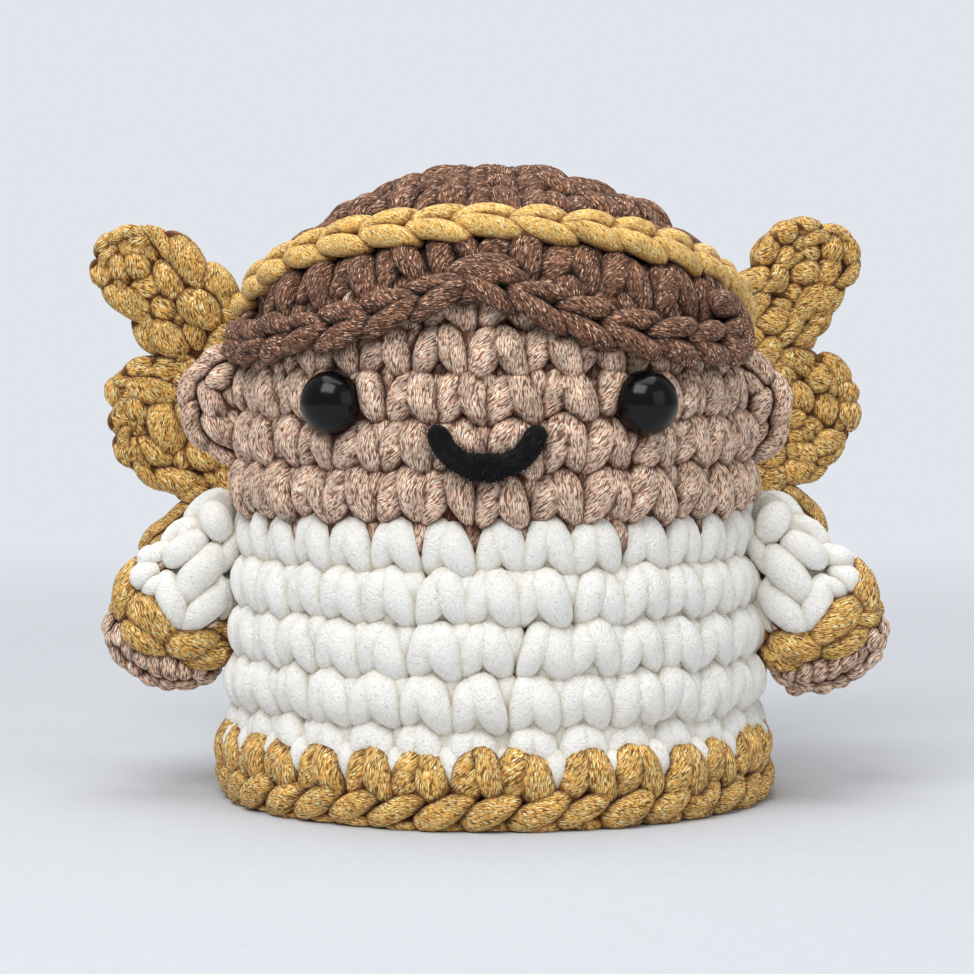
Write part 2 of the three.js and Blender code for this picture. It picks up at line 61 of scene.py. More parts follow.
def make_camera():
    data = bpy.data.cameras.new("camera")
    data.lens = CAMERA["lens"]
    data.clip_start, data.clip_end = CAMERA["clip"]
    camera = add_object("camera", data)
    azimuth, pan = math.radians(CAMERA["azimuth"]), math.radians(CAMERA["pan"])
    camera.location = (math.sin(azimuth) * CAMERA["distance"] * MM,
                       -math.cos(azimuth) * CAMERA["distance"] * MM, CAMERA["height"] * MM)
    camera.rotation_euler = (math.radians(90 - CAMERA["pitch"]), 0, azimuth + pan)
    bpy.context.scene.camera = camera


make_camera()


# Node materials

def linear(color):
    """A colour as seen on screen, turned into the renderer's linear values."""
    return [c / 12.92 if c <= 0.04045 else ((c + 0.055) / 1.055) ** 2.4 for c in color] + [1]


class Nodes:
    """A material's node tree, with short ways to add and link nodes."""

    def __init__(self, name):
        self.material = bpy.data.materials.new(name)
        self.material.use_nodes = True
        self.tree = self.material.node_tree
        self.shader = self.tree.nodes["Principled BSDF"]

    def add(self, kind, inputs=None, **settings):
        node = self.tree.nodes.new(kind)
        for key, value in settings.items():
            setattr(node, key, value)
        for key, value in (inputs or {}).items():
            self.feed(node.inputs[key], value)
        return node

    def feed(self, socket, value):
        if isinstance(value, bpy.types.NodeSocket):
            self.tree.links.new(value, socket)
        else:
            socket.default_value = value

    def math(self, operation, a, b=0.0):
        return self.add("ShaderNodeMath", {0: a, 1: b}, operation=operation).outputs[0]

    def ramp(self, value, stops, kind="LINEAR"):
        node = self.add("ShaderNodeValToRGB", {"Fac": value})
        node.color_ramp.interpolation = kind
        points = node.color_ramp.elements
        while len(points) < len(stops):
            points.new(0.5)
        for point, (at, color) in zip(points, stops):
            point.position = at
            point.color = color
        return node.outputs["Color"]

    def mix(self, share, a, b, kind="MIX"):
        node = self.add("ShaderNodeMix", data_type="RGBA", blend_type=kind)
        for key, value in (("Factor", share), ("A", a), ("B", b)):
            self.feed(node.inputs[key], value)
        return node.outputs["Result"]

    def noise(self, vector, scale, detail, output="Fac"):
        inputs = {"Vector": vector, "Scale": scale, "Detail": detail}
        return self.add("ShaderNodeTexNoise", inputs).outputs[output]

    def coordinates(self):
        return self.add("ShaderNodeTexCoord").outputs["Object"]

    def set(self, **values):
        """Inputs of the shader, by their names with _ for each space."""
        for key, value in values.items():
            self.feed(self.shader.inputs[key.replace("_", " ")], value)

    def set_bump(self, height, strength, distance):
        bump = self.add("ShaderNodeBump", {"Height": height, "Strength": strength, "Distance": distance * MM})
        self.set(Normal=bump.outputs[0])


def grey(value):
    return (value, value, value, 1)


# The yarn's patterns: how finely they repeat, how far they bend its threads, and how strongly they show
PATTERN = {"wobble": 6.0, "bend": 0.06, "patches": 420.0, "nap": 3200.0, "glint": 0.9, "speck": 0.85,
           "bump": 0.9, "specular": 0.3}
# How much longer and thinner the fine threads are than the knit scales, and where a scale's middle ends
THREAD = (1.5, 0.45)
MIDDLE = 0.5


def yarn_material(name, colors, fibre=(0.42, 0.12), slant=26, relief=0.085, roughness=(0.7, 0.35), sheen=0.08,
                  lines=0.2, glints=0.07, specks=0.02, fluff=0.0, gaps=0.8):
    """Knitted tube yarn. Its small knit stitches are scales along the strand, drawn with fine threads. Some
    are foil with painted glints, some are painted in shade, and painted crease shade darkens the yarn where
    it meets or goes in under others. Its colours are the body, shaded scales, light scales, painted glints,
    specks and painted crease shade."""
    body, shade, light, glint, speck, deep = (linear(color) for color in colors)
    n = Nodes(name)
    uv = n.add("ShaderNodeUVMap", uv_map="Yarn").outputs["UV"]
    turned = n.add("ShaderNodeMapping", {"Vector": uv, "Rotation": (0, 0, math.radians(slant))}).outputs[0]
    wobble = n.noise(turned, PATTERN["wobble"], 1.0, "Color")
    bent = n.add("ShaderNodeVectorMath", {0: wobble, "Scale": PATTERN["bend"]}, operation="SCALE").outputs[0]
    shifted = n.add("ShaderNodeVectorMath", {0: turned, 1: bent}, operation="ADD").outputs[0]

    def stretched(length, width):
        inputs = {"Vector": shifted, "Scale": (CM / length, CM / width, 1)}
        return n.add("ShaderNodeMapping", inputs).outputs[0]

    scales = n.add("ShaderNodeTexVoronoi", {"Vector": stretched(*fibre), "Scale": 1.0, "Randomness": 0.9},
                   voronoi_dimensions="2D")
    pick = n.add("ShaderNodeSeparateColor", {"Color": scales.outputs["Color"]}).outputs
    tone = n.ramp(pick[0], [(0.0, shade), (0.22, body), (0.6, body), (1.0, light)])
    threads = n.noise(stretched(fibre[0] * THREAD[0], fibre[1] * THREAD[1]), 1.0, 1.5)
    drawn = n.ramp(threads, [(0.3, grey(1 - lines)), (0.5, grey(1)), (0.7, grey(1 + lines))])
    color = n.mix(1.0, tone, drawn, "MULTIPLY")
    rim = n.ramp(scales.outputs["Distance"], [(0.34, grey(0)), (0.75, grey(1))])
    color = n.mix(n.math("MULTIPLY", rim, gaps), color, shade)
    middle = n.math("LESS_THAN", scales.outputs["Distance"], MIDDLE)
    # Painted highlights: a few scales get the glint colour and less roughness, as glints of foil fibres
    glints_here = n.math("MULTIPLY", n.math("LESS_THAN", pick[1], glints), middle)
    specks_here = n.math("MULTIPLY", n.math("LESS_THAN", pick[2], specks), middle)
    color = n.mix(n.math("MULTIPLY", glints_here, PATTERN["glint"]), color, glint)
    color = n.mix(n.math("MULTIPLY", specks_here, PATTERN["speck"]), color, speck)
    patches = n.noise(n.coordinates(), PATTERN["patches"], 2.5)
    drift = n.ramp(patches, [(0.32, grey(1 - lines * 0.7)), (0.68, grey(1 + lines * 0.5))])
    color = n.mix(1.0, color, drift, "MULTIPLY")
    # Painted shade: the colour darkens towards the deep crease colour as far as the mesh's painted shade
    # share says
    depth = n.add("ShaderNodeAttribute", attribute_name="Depth").outputs["Fac"]
    sunk = n.ramp(depth, [(0.12, grey(0)), (0.85, grey(1))])
    dull, bright = roughness
    n.set(Base_Color=n.mix(sunk, color, n.mix(1.0, color, deep, "MULTIPLY")),
          Roughness=n.math("SUBTRACT", dull, n.math("MULTIPLY", glints_here, dull - bright)),
          Sheen_Weight=sheen, Specular_IOR_Level=PATTERN["specular"])
    nap = n.noise(n.coordinates(), PATTERN["nap"], 3.0)
    height = n.math("ADD", n.math("SUBTRACT", threads, rim), n.math("MULTIPLY", nap, fluff))
    n.set_bump(height, PATTERN["bump"], relief)
    return n.material


# The fourth colour of each yarn is its painted glints, the sixth its painted crease shade
SKIN = yarn_material(
    "skin_yarn", [(0.97, 0.82, 0.71), (0.50, 0.305, 0.21), (1.0, 0.93, 0.85), (1.0, 0.94, 0.85),
                  (0.14, 0.075, 0.05), (0.42, 0.29, 0.21)],
    fibre=(0.56, 0.125), glints=0.14, specks=0.038, lines=0.44, gaps=0.95)
GOLD = yarn_material(
    "gold_yarn", [(0.95, 0.73, 0.385), (0.47, 0.275, 0.08), (1.0, 0.89, 0.57), (1.0, 0.96, 0.74),
                  (0.13, 0.07, 0.02), (0.50, 0.36, 0.20)],
    fibre=(0.5, 0.12), glints=0.14, specks=0.035, lines=0.36, gaps=0.85)
BAND_GOLD = yarn_material(
    "band_yarn", [(1.0, 0.80, 0.45), (0.68, 0.46, 0.18), (1.0, 0.91, 0.60), (1.0, 0.96, 0.76),
                  (0.24, 0.15, 0.05), (0.56, 0.40, 0.22)], glints=0.1, lines=0.24, gaps=0.65)
BROWN = yarn_material(
    "brown_yarn", [(0.52, 0.35, 0.255), (0.12, 0.06, 0.035), (0.83, 0.63, 0.50), (1.0, 0.85, 0.73),
                   (0.05, 0.03, 0.02), (0.26, 0.155, 0.11)],
    fibre=(0.5, 0.115), glints=0.075, specks=0.035, lines=0.42, sheen=0.03, gaps=0.9)
WHITE = yarn_material(
    "white_yarn", [(0.975, 0.97, 0.95), (0.93, 0.925, 0.895), (0.98, 0.975, 0.96), (1.0, 0.995, 0.98),
                   (0.86, 0.845, 0.80), (0.935, 0.915, 0.875)],
    fibre=(0.3, 0.18), slant=35, relief=0.075, roughness=(1.0, 0.6), sheen=0.2, lines=0.035, glints=0.15,
    specks=0.018, fluff=1.3, gaps=0.5)
BLACK = yarn_material(
    "black_yarn", [(0.05, 0.05, 0.058), (0.02, 0.02, 0.024), (0.12, 0.12, 0.135), (0.22, 0.22, 0.24),
                   (0.02, 0.02, 0.02), (0.6, 0.6, 0.6)],
    fibre=(1.3, 0.2), slant=10, relief=0.1, roughness=(1.0, 0.9), sheen=0.03, lines=0.4, glints=0.03,
    fluff=1.0)


def noise_material(name, scale, detail, colors, roughness, bump=None):
    """A plain material. Its colour, its height and, where given as a list, its roughness follow one noise."""
    n = Nodes(name)
    grain = n.noise(n.coordinates(), scale, detail)
    if isinstance(roughness, list):
        roughness = n.ramp(grain, [(at, grey(value)) for at, value in roughness])
    n.set(Base_Color=n.ramp(grain, [(at, linear(color)) for at, color in colors]), Roughness=roughness)
    if bump:
        n.set_bump(grain, *bump)
    return n


# Tracks: a line on the doll with a way out at each point. Stitches are laid along it

def unit(v):
    return v / np.linalg.norm(v, axis=-1, keepdims=True)


def travel(points):
    """How far along a line each of its points lies."""
    return np.concatenate([[0], np.cumsum(np.linalg.norm(np.diff(points, axis=0), axis=1))])


def turns(count):
    """Evenly spaced angles round a full turn."""
    return np.arange(count) / count * TURN


def around(angle, wide=1.0, deep=None, height=0.0):
    """Points round the Z axis, at angles from the front towards the doll's left."""
    deep = wide if deep is None else deep
    return np.stack(np.broadcast_arrays(np.sin(angle) * wide, -np.cos(angle) * deep, height), -1)


def carried(points, matrix):
    """Points turned and moved by a 4 x 4 matrix."""
    return points @ matrix[:3, :3].T + matrix[:3, 3]


def upright(side, flat, depth):
    """Points on one side of the doll from (out, up) pairs, at a depth."""
    return np.stack([WAY[side] * flat[:, 0], np.full(len(flat), depth), flat[:, 1]], -1)


class Track:
    """A line of points with normals. Its up is at right angles to the line and to the normal."""

    def __init__(self, points, normals, closed=False):
        points, normals = np.array(points, float), unit(np.array(normals, float))
        if closed:
            points, normals = np.vstack([points, points[:1]]), np.vstack([normals, normals[:1]])
        self.reach = travel(points)
        self.points, self.normals, self.closed = points, normals, closed
        self.length = self.reach[-1]
        along = np.gradient(points, self.reach, axis=0)
        if closed:
            along[0] = along[-1] = along[0] + along[-1]
        self.along = unit(along)

    def read(self, values, s):
        return np.stack([np.interp(s, self.reach, values[:, i]) for i in range(3)], -1)

    def place(self, s, v, w):
        """The points a way s along the track, v up and w out, and the normals there. Past an open end the
        track runs on straight."""
        s = np.asarray(s, float)
        inside = s % self.length if self.closed else np.clip(s, 0, self.length)
        normal = unit(self.read(self.normals, inside))
        along = unit(self.read(self.along, inside))
        point = self.read(self.points, inside)
        if not self.closed:
            point = point + along * (s - inside)[..., None]
        return point + np.cross(normal, along) * v[..., None] + normal * w[..., None], normal

    def moved(self, matrix):
        """The same track, turned and moved by a 4 x 4 matrix."""
        copy = object.__new__(Track)
        copy.__dict__.update(self.__dict__)
        copy.points = carried(self.points, matrix)
        copy.normals, copy.along = self.normals @ matrix[:3, :3].T, self.along @ matrix[:3, :3].T
        return copy


def ring_track(radius, height, lean=0.0):
    """A closed ring round the doll, from its front to its left. Lean tips the way out upwards."""
    flat = around(turns(96))
    points = flat * radius + [0, 0, height]
    return Track(points, flat * math.cos(lean) + [0, 0, math.sin(lean)], closed=True)


def spaced(track, count, phase=0.0):
    """Evenly spaced starts along a track, and the pitch between them."""
    pitch = track.length / count
    return (np.arange(count) + phase) * pitch, pitch


# Strands: rows of (along, up, out, width, thickness). Along is in pitches, up in row heights

def smooth(rows, count):
    """Points on a smooth curve through rows, closer together at its ends."""
    rows = np.array(rows, float)
    k = len(rows)
    t = (1 - np.cos(np.linspace(0, math.pi, count))) / 2
    t = (0.5 * t + 0.5 * np.linspace(0, 1, count)) * (k - 1)
    i = np.minimum(t.astype(int), k - 2)
    f = (t - i)[:, None]
    padded = np.vstack([2 * rows[0] - rows[1], rows, 2 * rows[-1] - rows[-2]])
    a, b, c, d = (padded[i + j] for j in range(4))
    bow, twist = 2 * a - 5 * b + 4 * c - d, 3 * b - a - 3 * c + d
    return 0.5 * (2 * b + (c - a) * f + bow * f ** 2 + twist * f ** 3)


def rounded(share, least):
    """How wide a round end is, at shares of its length from its tip."""
    return np.sqrt(np.clip(1 - (1 - share).clip(0) ** 2, least, 1))


# The doll's weight presses its lowest yarn flat on the ground
REST = 0.05

# Painted shade: yarn is painted darker once it lies less than this far out, and fully this much deeper. The
# closed forms behind it are given this share of full painted shade
SHADE_FROM = 1.0
SHADE_SPAN = 3.2
CORE_SHADE = 0.5

# A strand's lumps: how far they turn from ring to ring, and the sizes of the wide and the small ones
LUMPS = {"turn": 0.45, "wide": 0.03, "small": 0.02}
# How much strands of one form differ in where they start, how they lean, how high and how far out they lie,
# how wide and thick they are, and how much they swell on their way
STRAY = {"along": 0.03, "lean": 0.07, "up": 0.035, "out": 0.16, "wide": 0.05, "thick": 0.04, "swell": 0.035}

CORD_SIDES = 14
SHELL_FACETS = 64
SHELL_MAP = 3.5 * TURN

YARN_MESHES = []


class Piece:
    """Yarn strands and closed shells that make one object."""

    def __init__(self, name, seed, materials):
        self.name, self.materials = name, materials
        self.random = np.random.default_rng(seed)
        self.vertices, self.faces, self.maps, self.slots, self.depths = [], [], [], [], []
        self.count = 0

    def tube(self, points, normals, wide, thick, material=0, sides=10, rise=0.0):
        """Strands as tubes. points are (strands, rings, 3); wide and thick are half widths there, and rise is
        how far out their middles lie: the deeper the yarn, the more painted shade it gets."""
        strands, rings = wide.shape
        along = unit(np.gradient(points, axis=1))
        side = unit(np.cross(along, normals))
        out = np.cross(side, along)
        angle = turns(sides)
        phase = self.random.uniform(0, TURN, (strands, 1, 3))
        twist = np.arange(rings)[None, :, None] * LUMPS["turn"]
        beat = np.sin(twist + phase[..., 1:2])
        lumps = 1 + LUMPS["wide"] * np.sin(2 * angle + twist + phase[..., :1]) * beat
        lumps += LUMPS["small"] * np.sin(3 * angle - 1.7 * twist + phase[..., 2:])
        across = side[:, :, None] * (wide[..., None] * np.cos(angle) * lumps)[..., None]
        outward = out[:, :, None] * (thick[..., None] * np.sin(angle) * lumps)[..., None]
        skin = points[:, :, None] + across + outward
        rise = np.broadcast_to(rise, wide.shape)
        # Painted shade: the deeper a point of the yarn lies, the darker it is painted
        depth = np.clip((SHADE_FROM - rise[..., None] - thick[..., None] * np.sin(angle)) / SHADE_SPAN, 0, 1)
        reach = np.array([travel(line) for line in points]) / CM
        offset = self.random.uniform(0, 50, (strands, 2))
        round_size = TURN * (wide.mean(1) + thick.mean(1)) / 2 / CM
        for k in range(strands):
            self.add_grid(skin[k], reach[k] + offset[k, 0],
                          offset[k, 1] + np.arange(sides + 1) / sides * round_size[k], material)
            self.depths.append(np.concatenate([depth[k].ravel(), depth[k, 0, :1], depth[k, -1, :1]]))

    def add_grid(self, grid, reach, rounds, material=0):
        """A tube's grid of points, closed by a point at each end. reach and rounds are its map."""
        rings, sides = grid.shape[:2]
        start, last = self.count, self.count + (rings - 1) * sides
        self.vertices.append(np.vstack([grid.reshape(-1, 3), grid[0].mean(0), grid[-1].mean(0)]))
        self.count += rings * sides + 2
        low, high = np.full(sides, self.count - 2), np.full(sides, self.count - 1)
        i, j = np.divmod(np.arange((rings - 1) * sides), sides)
        n = (j + 1) % sides
        quads = np.stack([(i + 1) * sides + j, (i + 1) * sides + n, i * sides + n, i * sides + j], -1) + start
        self.faces.extend(quads.tolist())
        self.maps.append(np.stack([reach[i + 1], rounds[j], reach[i + 1], rounds[j + 1],
                                   reach[i], rounds[j + 1], reach[i], rounds[j]], -1).reshape(-1, 2))
        j, n = np.arange(sides), (np.arange(sides) + 1) % sides
        tips = np.stack([low, start + j, start + n, high, last + n, last + j], -1)
        self.faces.extend(tips.reshape(-1, 3).tolist())
        middle, before, after = (rounds[:-1] + rounds[1:]) / 2, rounds[:-1], rounds[1:]
        across = np.stack([middle, before, after, middle, after, before], -1).ravel()
        self.maps.append(np.stack([np.tile(np.repeat(reach[[0, -1]], 3), sides), across], -1))
        self.slots.append(np.full((rings + 1) * sides, material))

    def closed_form(self, grid, ring_step, side_step, depth=CORE_SHADE):
        """A form behind the stitches, through rings of points. The steps lay out its map, and depth is the
        share of painted shade it is given.
        """
        rings, sides = grid.shape[:2]
        self.add_grid(grid, np.arange(rings) * ring_step, np.arange(sides + 1) * side_step)
        self.depths.append(np.full(rings * sides + 2, depth))

    def strands(self, track, starts, rows, pitch, height, size, material=0, rings=14, sides=10,
                ends=(0.2, 0.28), jitter=1.0, lift=None):
        """One strand of the same form at each start along a track."""
        shape = smooth(rows, rings)
        count = len(starts)
        noise = self.random.normal(0, 1, (count, 8)) * jitter
        share = np.linspace(0, 1, rings)
        lean = noise[:, 1:2] * STRAY["lean"] * pitch * (share - 0.5)
        u = shape[:, 0] * pitch + noise[:, :1] * STRAY["along"] * pitch + lean
        v = shape[:, 1] * height + noise[:, 2:3] * STRAY["up"] * height
        w = shape[:, 2] + noise[:, 3:4] * STRAY["out"] + (0 if lift is None else lift[:, None])
        taper = rounded(share / ends[0], 0.02) * rounded((1 - share) / ends[1], 0.02)
        wide = size[0] * shape[:, 3] * taper * (1 + STRAY["wide"] * noise[:, 4:5])
        thick = size[1] * shape[:, 4] * taper * (1 + STRAY["thick"] * noise[:, 5:6])
        swell = 1 + STRAY["swell"] * np.sin(share * 9 + noise[:, 6:7] * 3)
        points, normals = track.place(np.asarray(starts)[:, None] + u, v, w)
        self.tube(points, normals, wide * swell, thick * swell, material, sides, rise=w)

    def cord(self, track, wide, thick, step=0.9, closed=False):
        """One strand all along a track, with round ends unless it closes on itself."""
        count = max(12, round(track.length / step))
        s = np.linspace(0, track.length, count)
        if not closed:
            close = wide * (1 - np.cos(np.linspace(0, math.pi / 2, 7)))
            s = np.concatenate([close, s[(s > wide) & (s < track.length - wide)], track.length - close[::-1]])
        share = np.minimum(s, track.length - s) / wide
        ends = np.ones(len(s)) if closed else rounded(share, 0.03)
        points, normals = track.place(s, 0 * s, 0 * s)
        self.tube(points[None], normals[None], (wide * ends)[None], (thick * ends)[None], sides=CORD_SIDES)

    def fuzz(self, track, wide, thick, count, reach=(0.5, 1.1), size=0.035):
        """Loose fibres that stand off a cord along a track."""
        s = self.random.uniform(0, track.length, count)
        angle = self.random.uniform(-0.2, math.pi + 0.2, count)
        lean = self.random.normal(0, 0.7, (count, 2))
        long = self.random.uniform(*reach, count)
        share = np.linspace(0, 1, 4)
        grow = share * long[:, None]
        out = 0.93 + grow / wide
        v = wide * np.cos(angle)[:, None] * out
        w = thick * np.sin(angle)[:, None] * out
        along = s[:, None] + lean[:, :1] * grow + lean[:, 1:] * grow ** 2 * 0.6
        points, normals = track.place(along, v, w)
        thin = np.repeat(size * (1.15 - share)[None], count, 0)
        self.tube(points, normals, thin, thin, sides=3)

    def shell(self, profile, material=0):
        """A turned closed form about Z, through points of (radius, height) that start and end on the axis
        or close on themselves."""
        profile = np.array(profile, float)
        hoop = profile[0, 0] > 0
        rings = profile if hoop else profile[1:-1]
        start, facets = self.count, SHELL_FACETS
        grid = around(turns(facets)[None], rings[:, :1], height=rings[:, 1:])
        vertices = [grid.reshape(-1, 3)]
        reach = travel(profile) / CM
        i, j = np.divmod(np.arange((len(rings) - (not hoop)) * facets), facets)
        a, b, n = start + i * facets, start + (i + 1) % len(rings) * facets, (j + 1) % facets
        faces = np.stack([a + j, a + n, b + n, b + j], -1).tolist()
        x0, x1, low, high = j / facets * SHELL_MAP, (j + 1) / facets * SHELL_MAP, reach[i], reach[i] + 0.3
        self.maps.append(np.stack([x0, low, x1, low, x1, high, x0, high], -1).reshape(-1, 2))
        if not hoop:
            vertices.append([[0, 0, profile[0, 1]], [0, 0, profile[-1, 1]]])
            low, last = start + len(rings) * facets, start + (len(rings) - 1) * facets
            for j in range(facets):
                n = (j + 1) % facets
                faces += [[low, start + n, start + j], [low + 1, last + j, last + n]]
            self.maps.append(np.tile([(0, 0), (0.1, 0), (0, 0.1)], (2 * facets, 1)))
        self.vertices.append(np.vstack(vertices))
        self.count += len(self.vertices[-1])
        # The shell is given the closed forms' share of painted shade
        self.depths.append(np.full(len(self.vertices[-1]), CORE_SHADE))
        self.faces.extend(faces)
        self.slots.append(np.full(len(faces), material))

    def build(self, body, nodes):
        mesh = bpy.data.meshes.new(self.name)
        points = np.vstack(self.vertices)
        points[:, 2] = np.maximum(points[:, 2], REST)
        mesh.from_pydata((points * MM).tolist(), [], self.faces)
        layer = mesh.uv_layers.new(name="Yarn")
        layer.data.foreach_set("uv", np.vstack(self.maps).astype(np.float32).ravel())
        # Each point's share of painted shade, for the yarn materials
        depth = mesh.attributes.new("Depth", "FLOAT", "POINT")
        depth.data.foreach_set("value", np.concatenate(self.depths).astype(np.float32))
        mesh.polygons.foreach_set("material_index", np.concatenate(self.slots).astype(np.int32))
        mesh.shade_smooth()
        for material in self.materials:
            mesh.materials.append(material)
        mesh.validate()
        YARN_MESHES.append(mesh)
        turned = bmesh.new()
        turned.from_mesh(mesh)
        bmesh.ops.recalc_face_normals(turned, faces=turned.faces)
        turned.to_mesh(mesh)
        turned.free()
        place_piece(self.name, mesh, body, nodes)


def place_piece(name, mesh, body, nodes):
    """A mesh as a piece that rides on a body and stands for solids of the CAD."""
    piece = add_object(name, mesh)
    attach(piece, body)
    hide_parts(*nodes)


# For the painted crease shade, each point of the yarn looks this far and this widely for strands close by
CREASE_SHADE = {"off": 0.06, "near": 1.7, "through": 6.0, "tilt": 58, "ways": 5, "gain": 2.1, "least": 0.12}


def mesh_arrays(mesh):
    """A mesh's points and normals in millimetres, and its triangles."""
    count = len(mesh.vertices)
    points, normals = np.empty(count * 3, np.float32), np.empty(count * 3, np.float32)
    mesh.vertices.foreach_get("co", points)
    mesh.vertices.foreach_get("normal", normals)
    mesh.calc_loop_triangles()
    corners = np.empty(len(mesh.loop_triangles) * 3, np.int32)
    mesh.loop_triangles.foreach_get("vertices", corners)
    return points.reshape(-1, 3) / MM, normals.reshape(-1, 3), corners.reshape(-1, 3)


def closeness(tree, start, way):
    """How near the next strand is along a way: 1 where the start lies inside it."""
    _, normal, _, distance = tree.ray_cast(start, way, CREASE_SHADE["through"])
    if distance is None:
        return 0.0
    if normal.dot(way) > 0:
        return 1.0
    return max(0.0, 1 - distance / CREASE_SHADE["near"])


def shade_creases():
    """Painted crease shade: where strands meet, the yarn is painted as dark as where it goes in under others.
    """
    arrays = [mesh_arrays(mesh) for mesh in YARN_MESHES]
    offsets = np.concatenate([[0], np.cumsum([len(points) for points, _, _ in arrays])])
    tree = BVHTree.FromPolygons(np.vstack([points for points, _, _ in arrays]).tolist(),
                                np.vstack([c + o for (_, _, c), o in zip(arrays, offsets)]).tolist(),
                                all_triangles=True)
    tilt = math.radians(CREASE_SHADE["tilt"])
    rounds = turns(CREASE_SHADE["ways"])
    for mesh, (points, normals, _) in zip(YARN_MESHES, arrays):
        side = np.cross(normals, np.where(np.abs(normals[:, 2:]) < 0.8, [[0, 0, 1]], [[1, 0, 0]]))
        side /= np.maximum(np.linalg.norm(side, axis=1, keepdims=True), 1e-6)
        other = np.cross(normals, side)
        spread = side[:, None] * np.cos(rounds)[:, None] + other[:, None] * np.sin(rounds)[:, None]
        ways = normals[:, None] * math.cos(tilt) + spread * math.sin(tilt)
        starts = (points + normals * CREASE_SHADE["off"]).tolist()
        depths = np.empty(len(points), np.float32)
        mesh.attributes["Depth"].data.foreach_get("value", depths)
        open_points = np.nonzero(depths < 0.98)[0]
        for index, rays in zip(open_points.tolist(), ways[open_points].tolist()):
            near = sum(closeness(tree, starts[index], Vector(ray)) for ray in rays) / len(rays)
            depths[index] = max(depths[index], min(1.0, near * CREASE_SHADE["gain"] - CREASE_SHADE["least"]))
        mesh.attributes["Depth"].data.foreach_set("value", depths)


# A stitch is two legs that part from one broad top, the right one in front. A loop beside them sits deeper,
# and a bit of yarn shows between the feet
LEFT_LEG = [(-0.03, 0.52, -2.8, 0.7, 0.75), (-0.06, 0.43, -0.7, 1.1, 0.93), (-0.13, 0.22, 0.42, 1.28, 1),
            (-0.21, 0.0, 0.52, 1.2, 1), (-0.3, -0.22, 0.2, 0.98, 0.95), (-0.36, -0.42, -0.95, 0.72, 0.8),
            (-0.38, -0.56, -2.7, 0.45, 0.55)]
RIGHT_LEG = [(0.01, 0.52, -2.7, 0.7, 0.75), (0.04, 0.43, -0.6, 1.05, 0.93), (0.1, 0.22, 0.5, 1.22, 1),
             (0.19, 0.0, 0.75, 1.14, 1), (0.29, -0.22, 0.4, 0.98, 0.96), (0.37, -0.43, -0.8, 0.75, 0.82),
             (0.41, -0.58, -2.6, 0.45, 0.55)]
SIDE_LOOP = [(0.36, 0.54, -2.7, 0.8, 0.8), (0.45, 0.42, -0.9, 1.02, 1), (0.51, 0.2, -0.45, 1.1, 1),
             (0.52, -0.06, -0.9, 0.95, 0.9), (0.5, -0.3, -2.3, 0.7, 0.7)]
FOOT_LOOP = [(-0.05, -0.1, -2.6, 0.8, 0.8), (0.0, -0.26, -1.1, 1, 1), (0.02, -0.44, -1.2, 1, 1),
             (0.04, -0.62, -2.7, 0.8, 0.8)]


# For each part of a stitch its form, half width and half thickness, and rings, from the deepest to the front
STITCH = {"foot": (FOOT_LOOP, 1.75, 1.5, 8), "side": (SIDE_LOOP, 1.95, 1.7, 9),
          "left": (LEFT_LEG, 2.0, 1.8, 14), "right": (RIGHT_LEG, 2.15, 1.95, 14)}
STITCH_PITCH = 7.64


def stitch_round(piece, track, starts, pitch, height, loops=0, size=1.0, parts=STITCH, jitter=1.0):
    """Stitches from each start along a track. Loops is the number of the side loops' material."""
    starts = starts + piece.random.normal(0, 0.045, len(starts)) * pitch * jitter
    lift = piece.random.normal(0, 0.14, len(starts)) * jitter
    scale = size * pitch / STITCH_PITCH
    for part, (rows, wide, thick, rings) in STITCH.items():
        if part in parts:
            piece.strands(track, starts, rows, pitch, height, (wide * scale, thick * size),
                          loops if part == "side" else 0, rings, sides=12, lift=lift, jitter=jitter)


def stitch_row(piece, track, count, phase, height, only=180, **options):
    """A round of evenly spaced stitches. Only is how far round from the front it reaches, in degrees."""
    starts, pitch = spaced(track, count, phase)
    angle = (starts / track.length * 360 + 180) % 360 - 180
    stitch_round(piece, track, starts[np.abs(angle) <= only], pitch, height, **options)


# The chain of interlocked loops along an edge: each link is a pair of leaf-shaped arms. This is the upper one
CHAIN_ARM = [(-0.28, 0.02, -1.3, 0.6, 0.7), (0.0, 0.09, 0.0, 0.9, 0.95), (0.33, 0.21, 0.5, 1.05, 1),
             (0.68, 0.31, 0.3, 1.05, 1), (1.0, 0.35, -0.5, 0.88, 0.88), (1.24, 0.33, -1.5, 0.6, 0.6)]


def chain(piece, track, period, width, size, phase=0.0, flip=False, arms=(1, -1)):
    """A chain along a track, its arms opening ahead, or back if flipped. Arms are 1 for up, -1 for down."""
    starts, pitch = spaced(track, max(1, round(track.length / period)), phase)
    way = -1 if flip else 1
    for up in arms:
        rows = [(way * u, up * v, w, a, b) for u, v, w, a, b in CHAIN_ARM]
        piece.strands(track, starts, rows, pitch, width, size, ends=(0.28, 0.3))


# The stuffed tube: its rounds as (height, radius), those of the brow also with how far round they reach
STITCHES = 32
STITCH_HEIGHT = 6.55
HEM_HEIGHT = 6.5
THICK = 1.85
DRIFT = 0.11
GOWN_ROWS = [(10.35, 38.15), (17.0, 38.8), (23.85, 38.6), (30.9, 38.0), (37.8, 36.9)]
FACE_ROWS = [(44.8, 37.3), (51.5, 37.0), (57.9, 36.3)]
BROW_ROWS = [(64.2, 35.3, 95), (70.1, 32.9, 60)]
HEM_ROW = (6.6, 39.9)
WALL = 3.1
LINING = 1.4
CROWN = [(31.2, 64), (28.4, 69.6), (23, 76), (14, 81), (0, 83.5)]
# The gown's top stitches are taller, and reach up between the feet of the face's lowest ones
TOP_ROW = 1.08


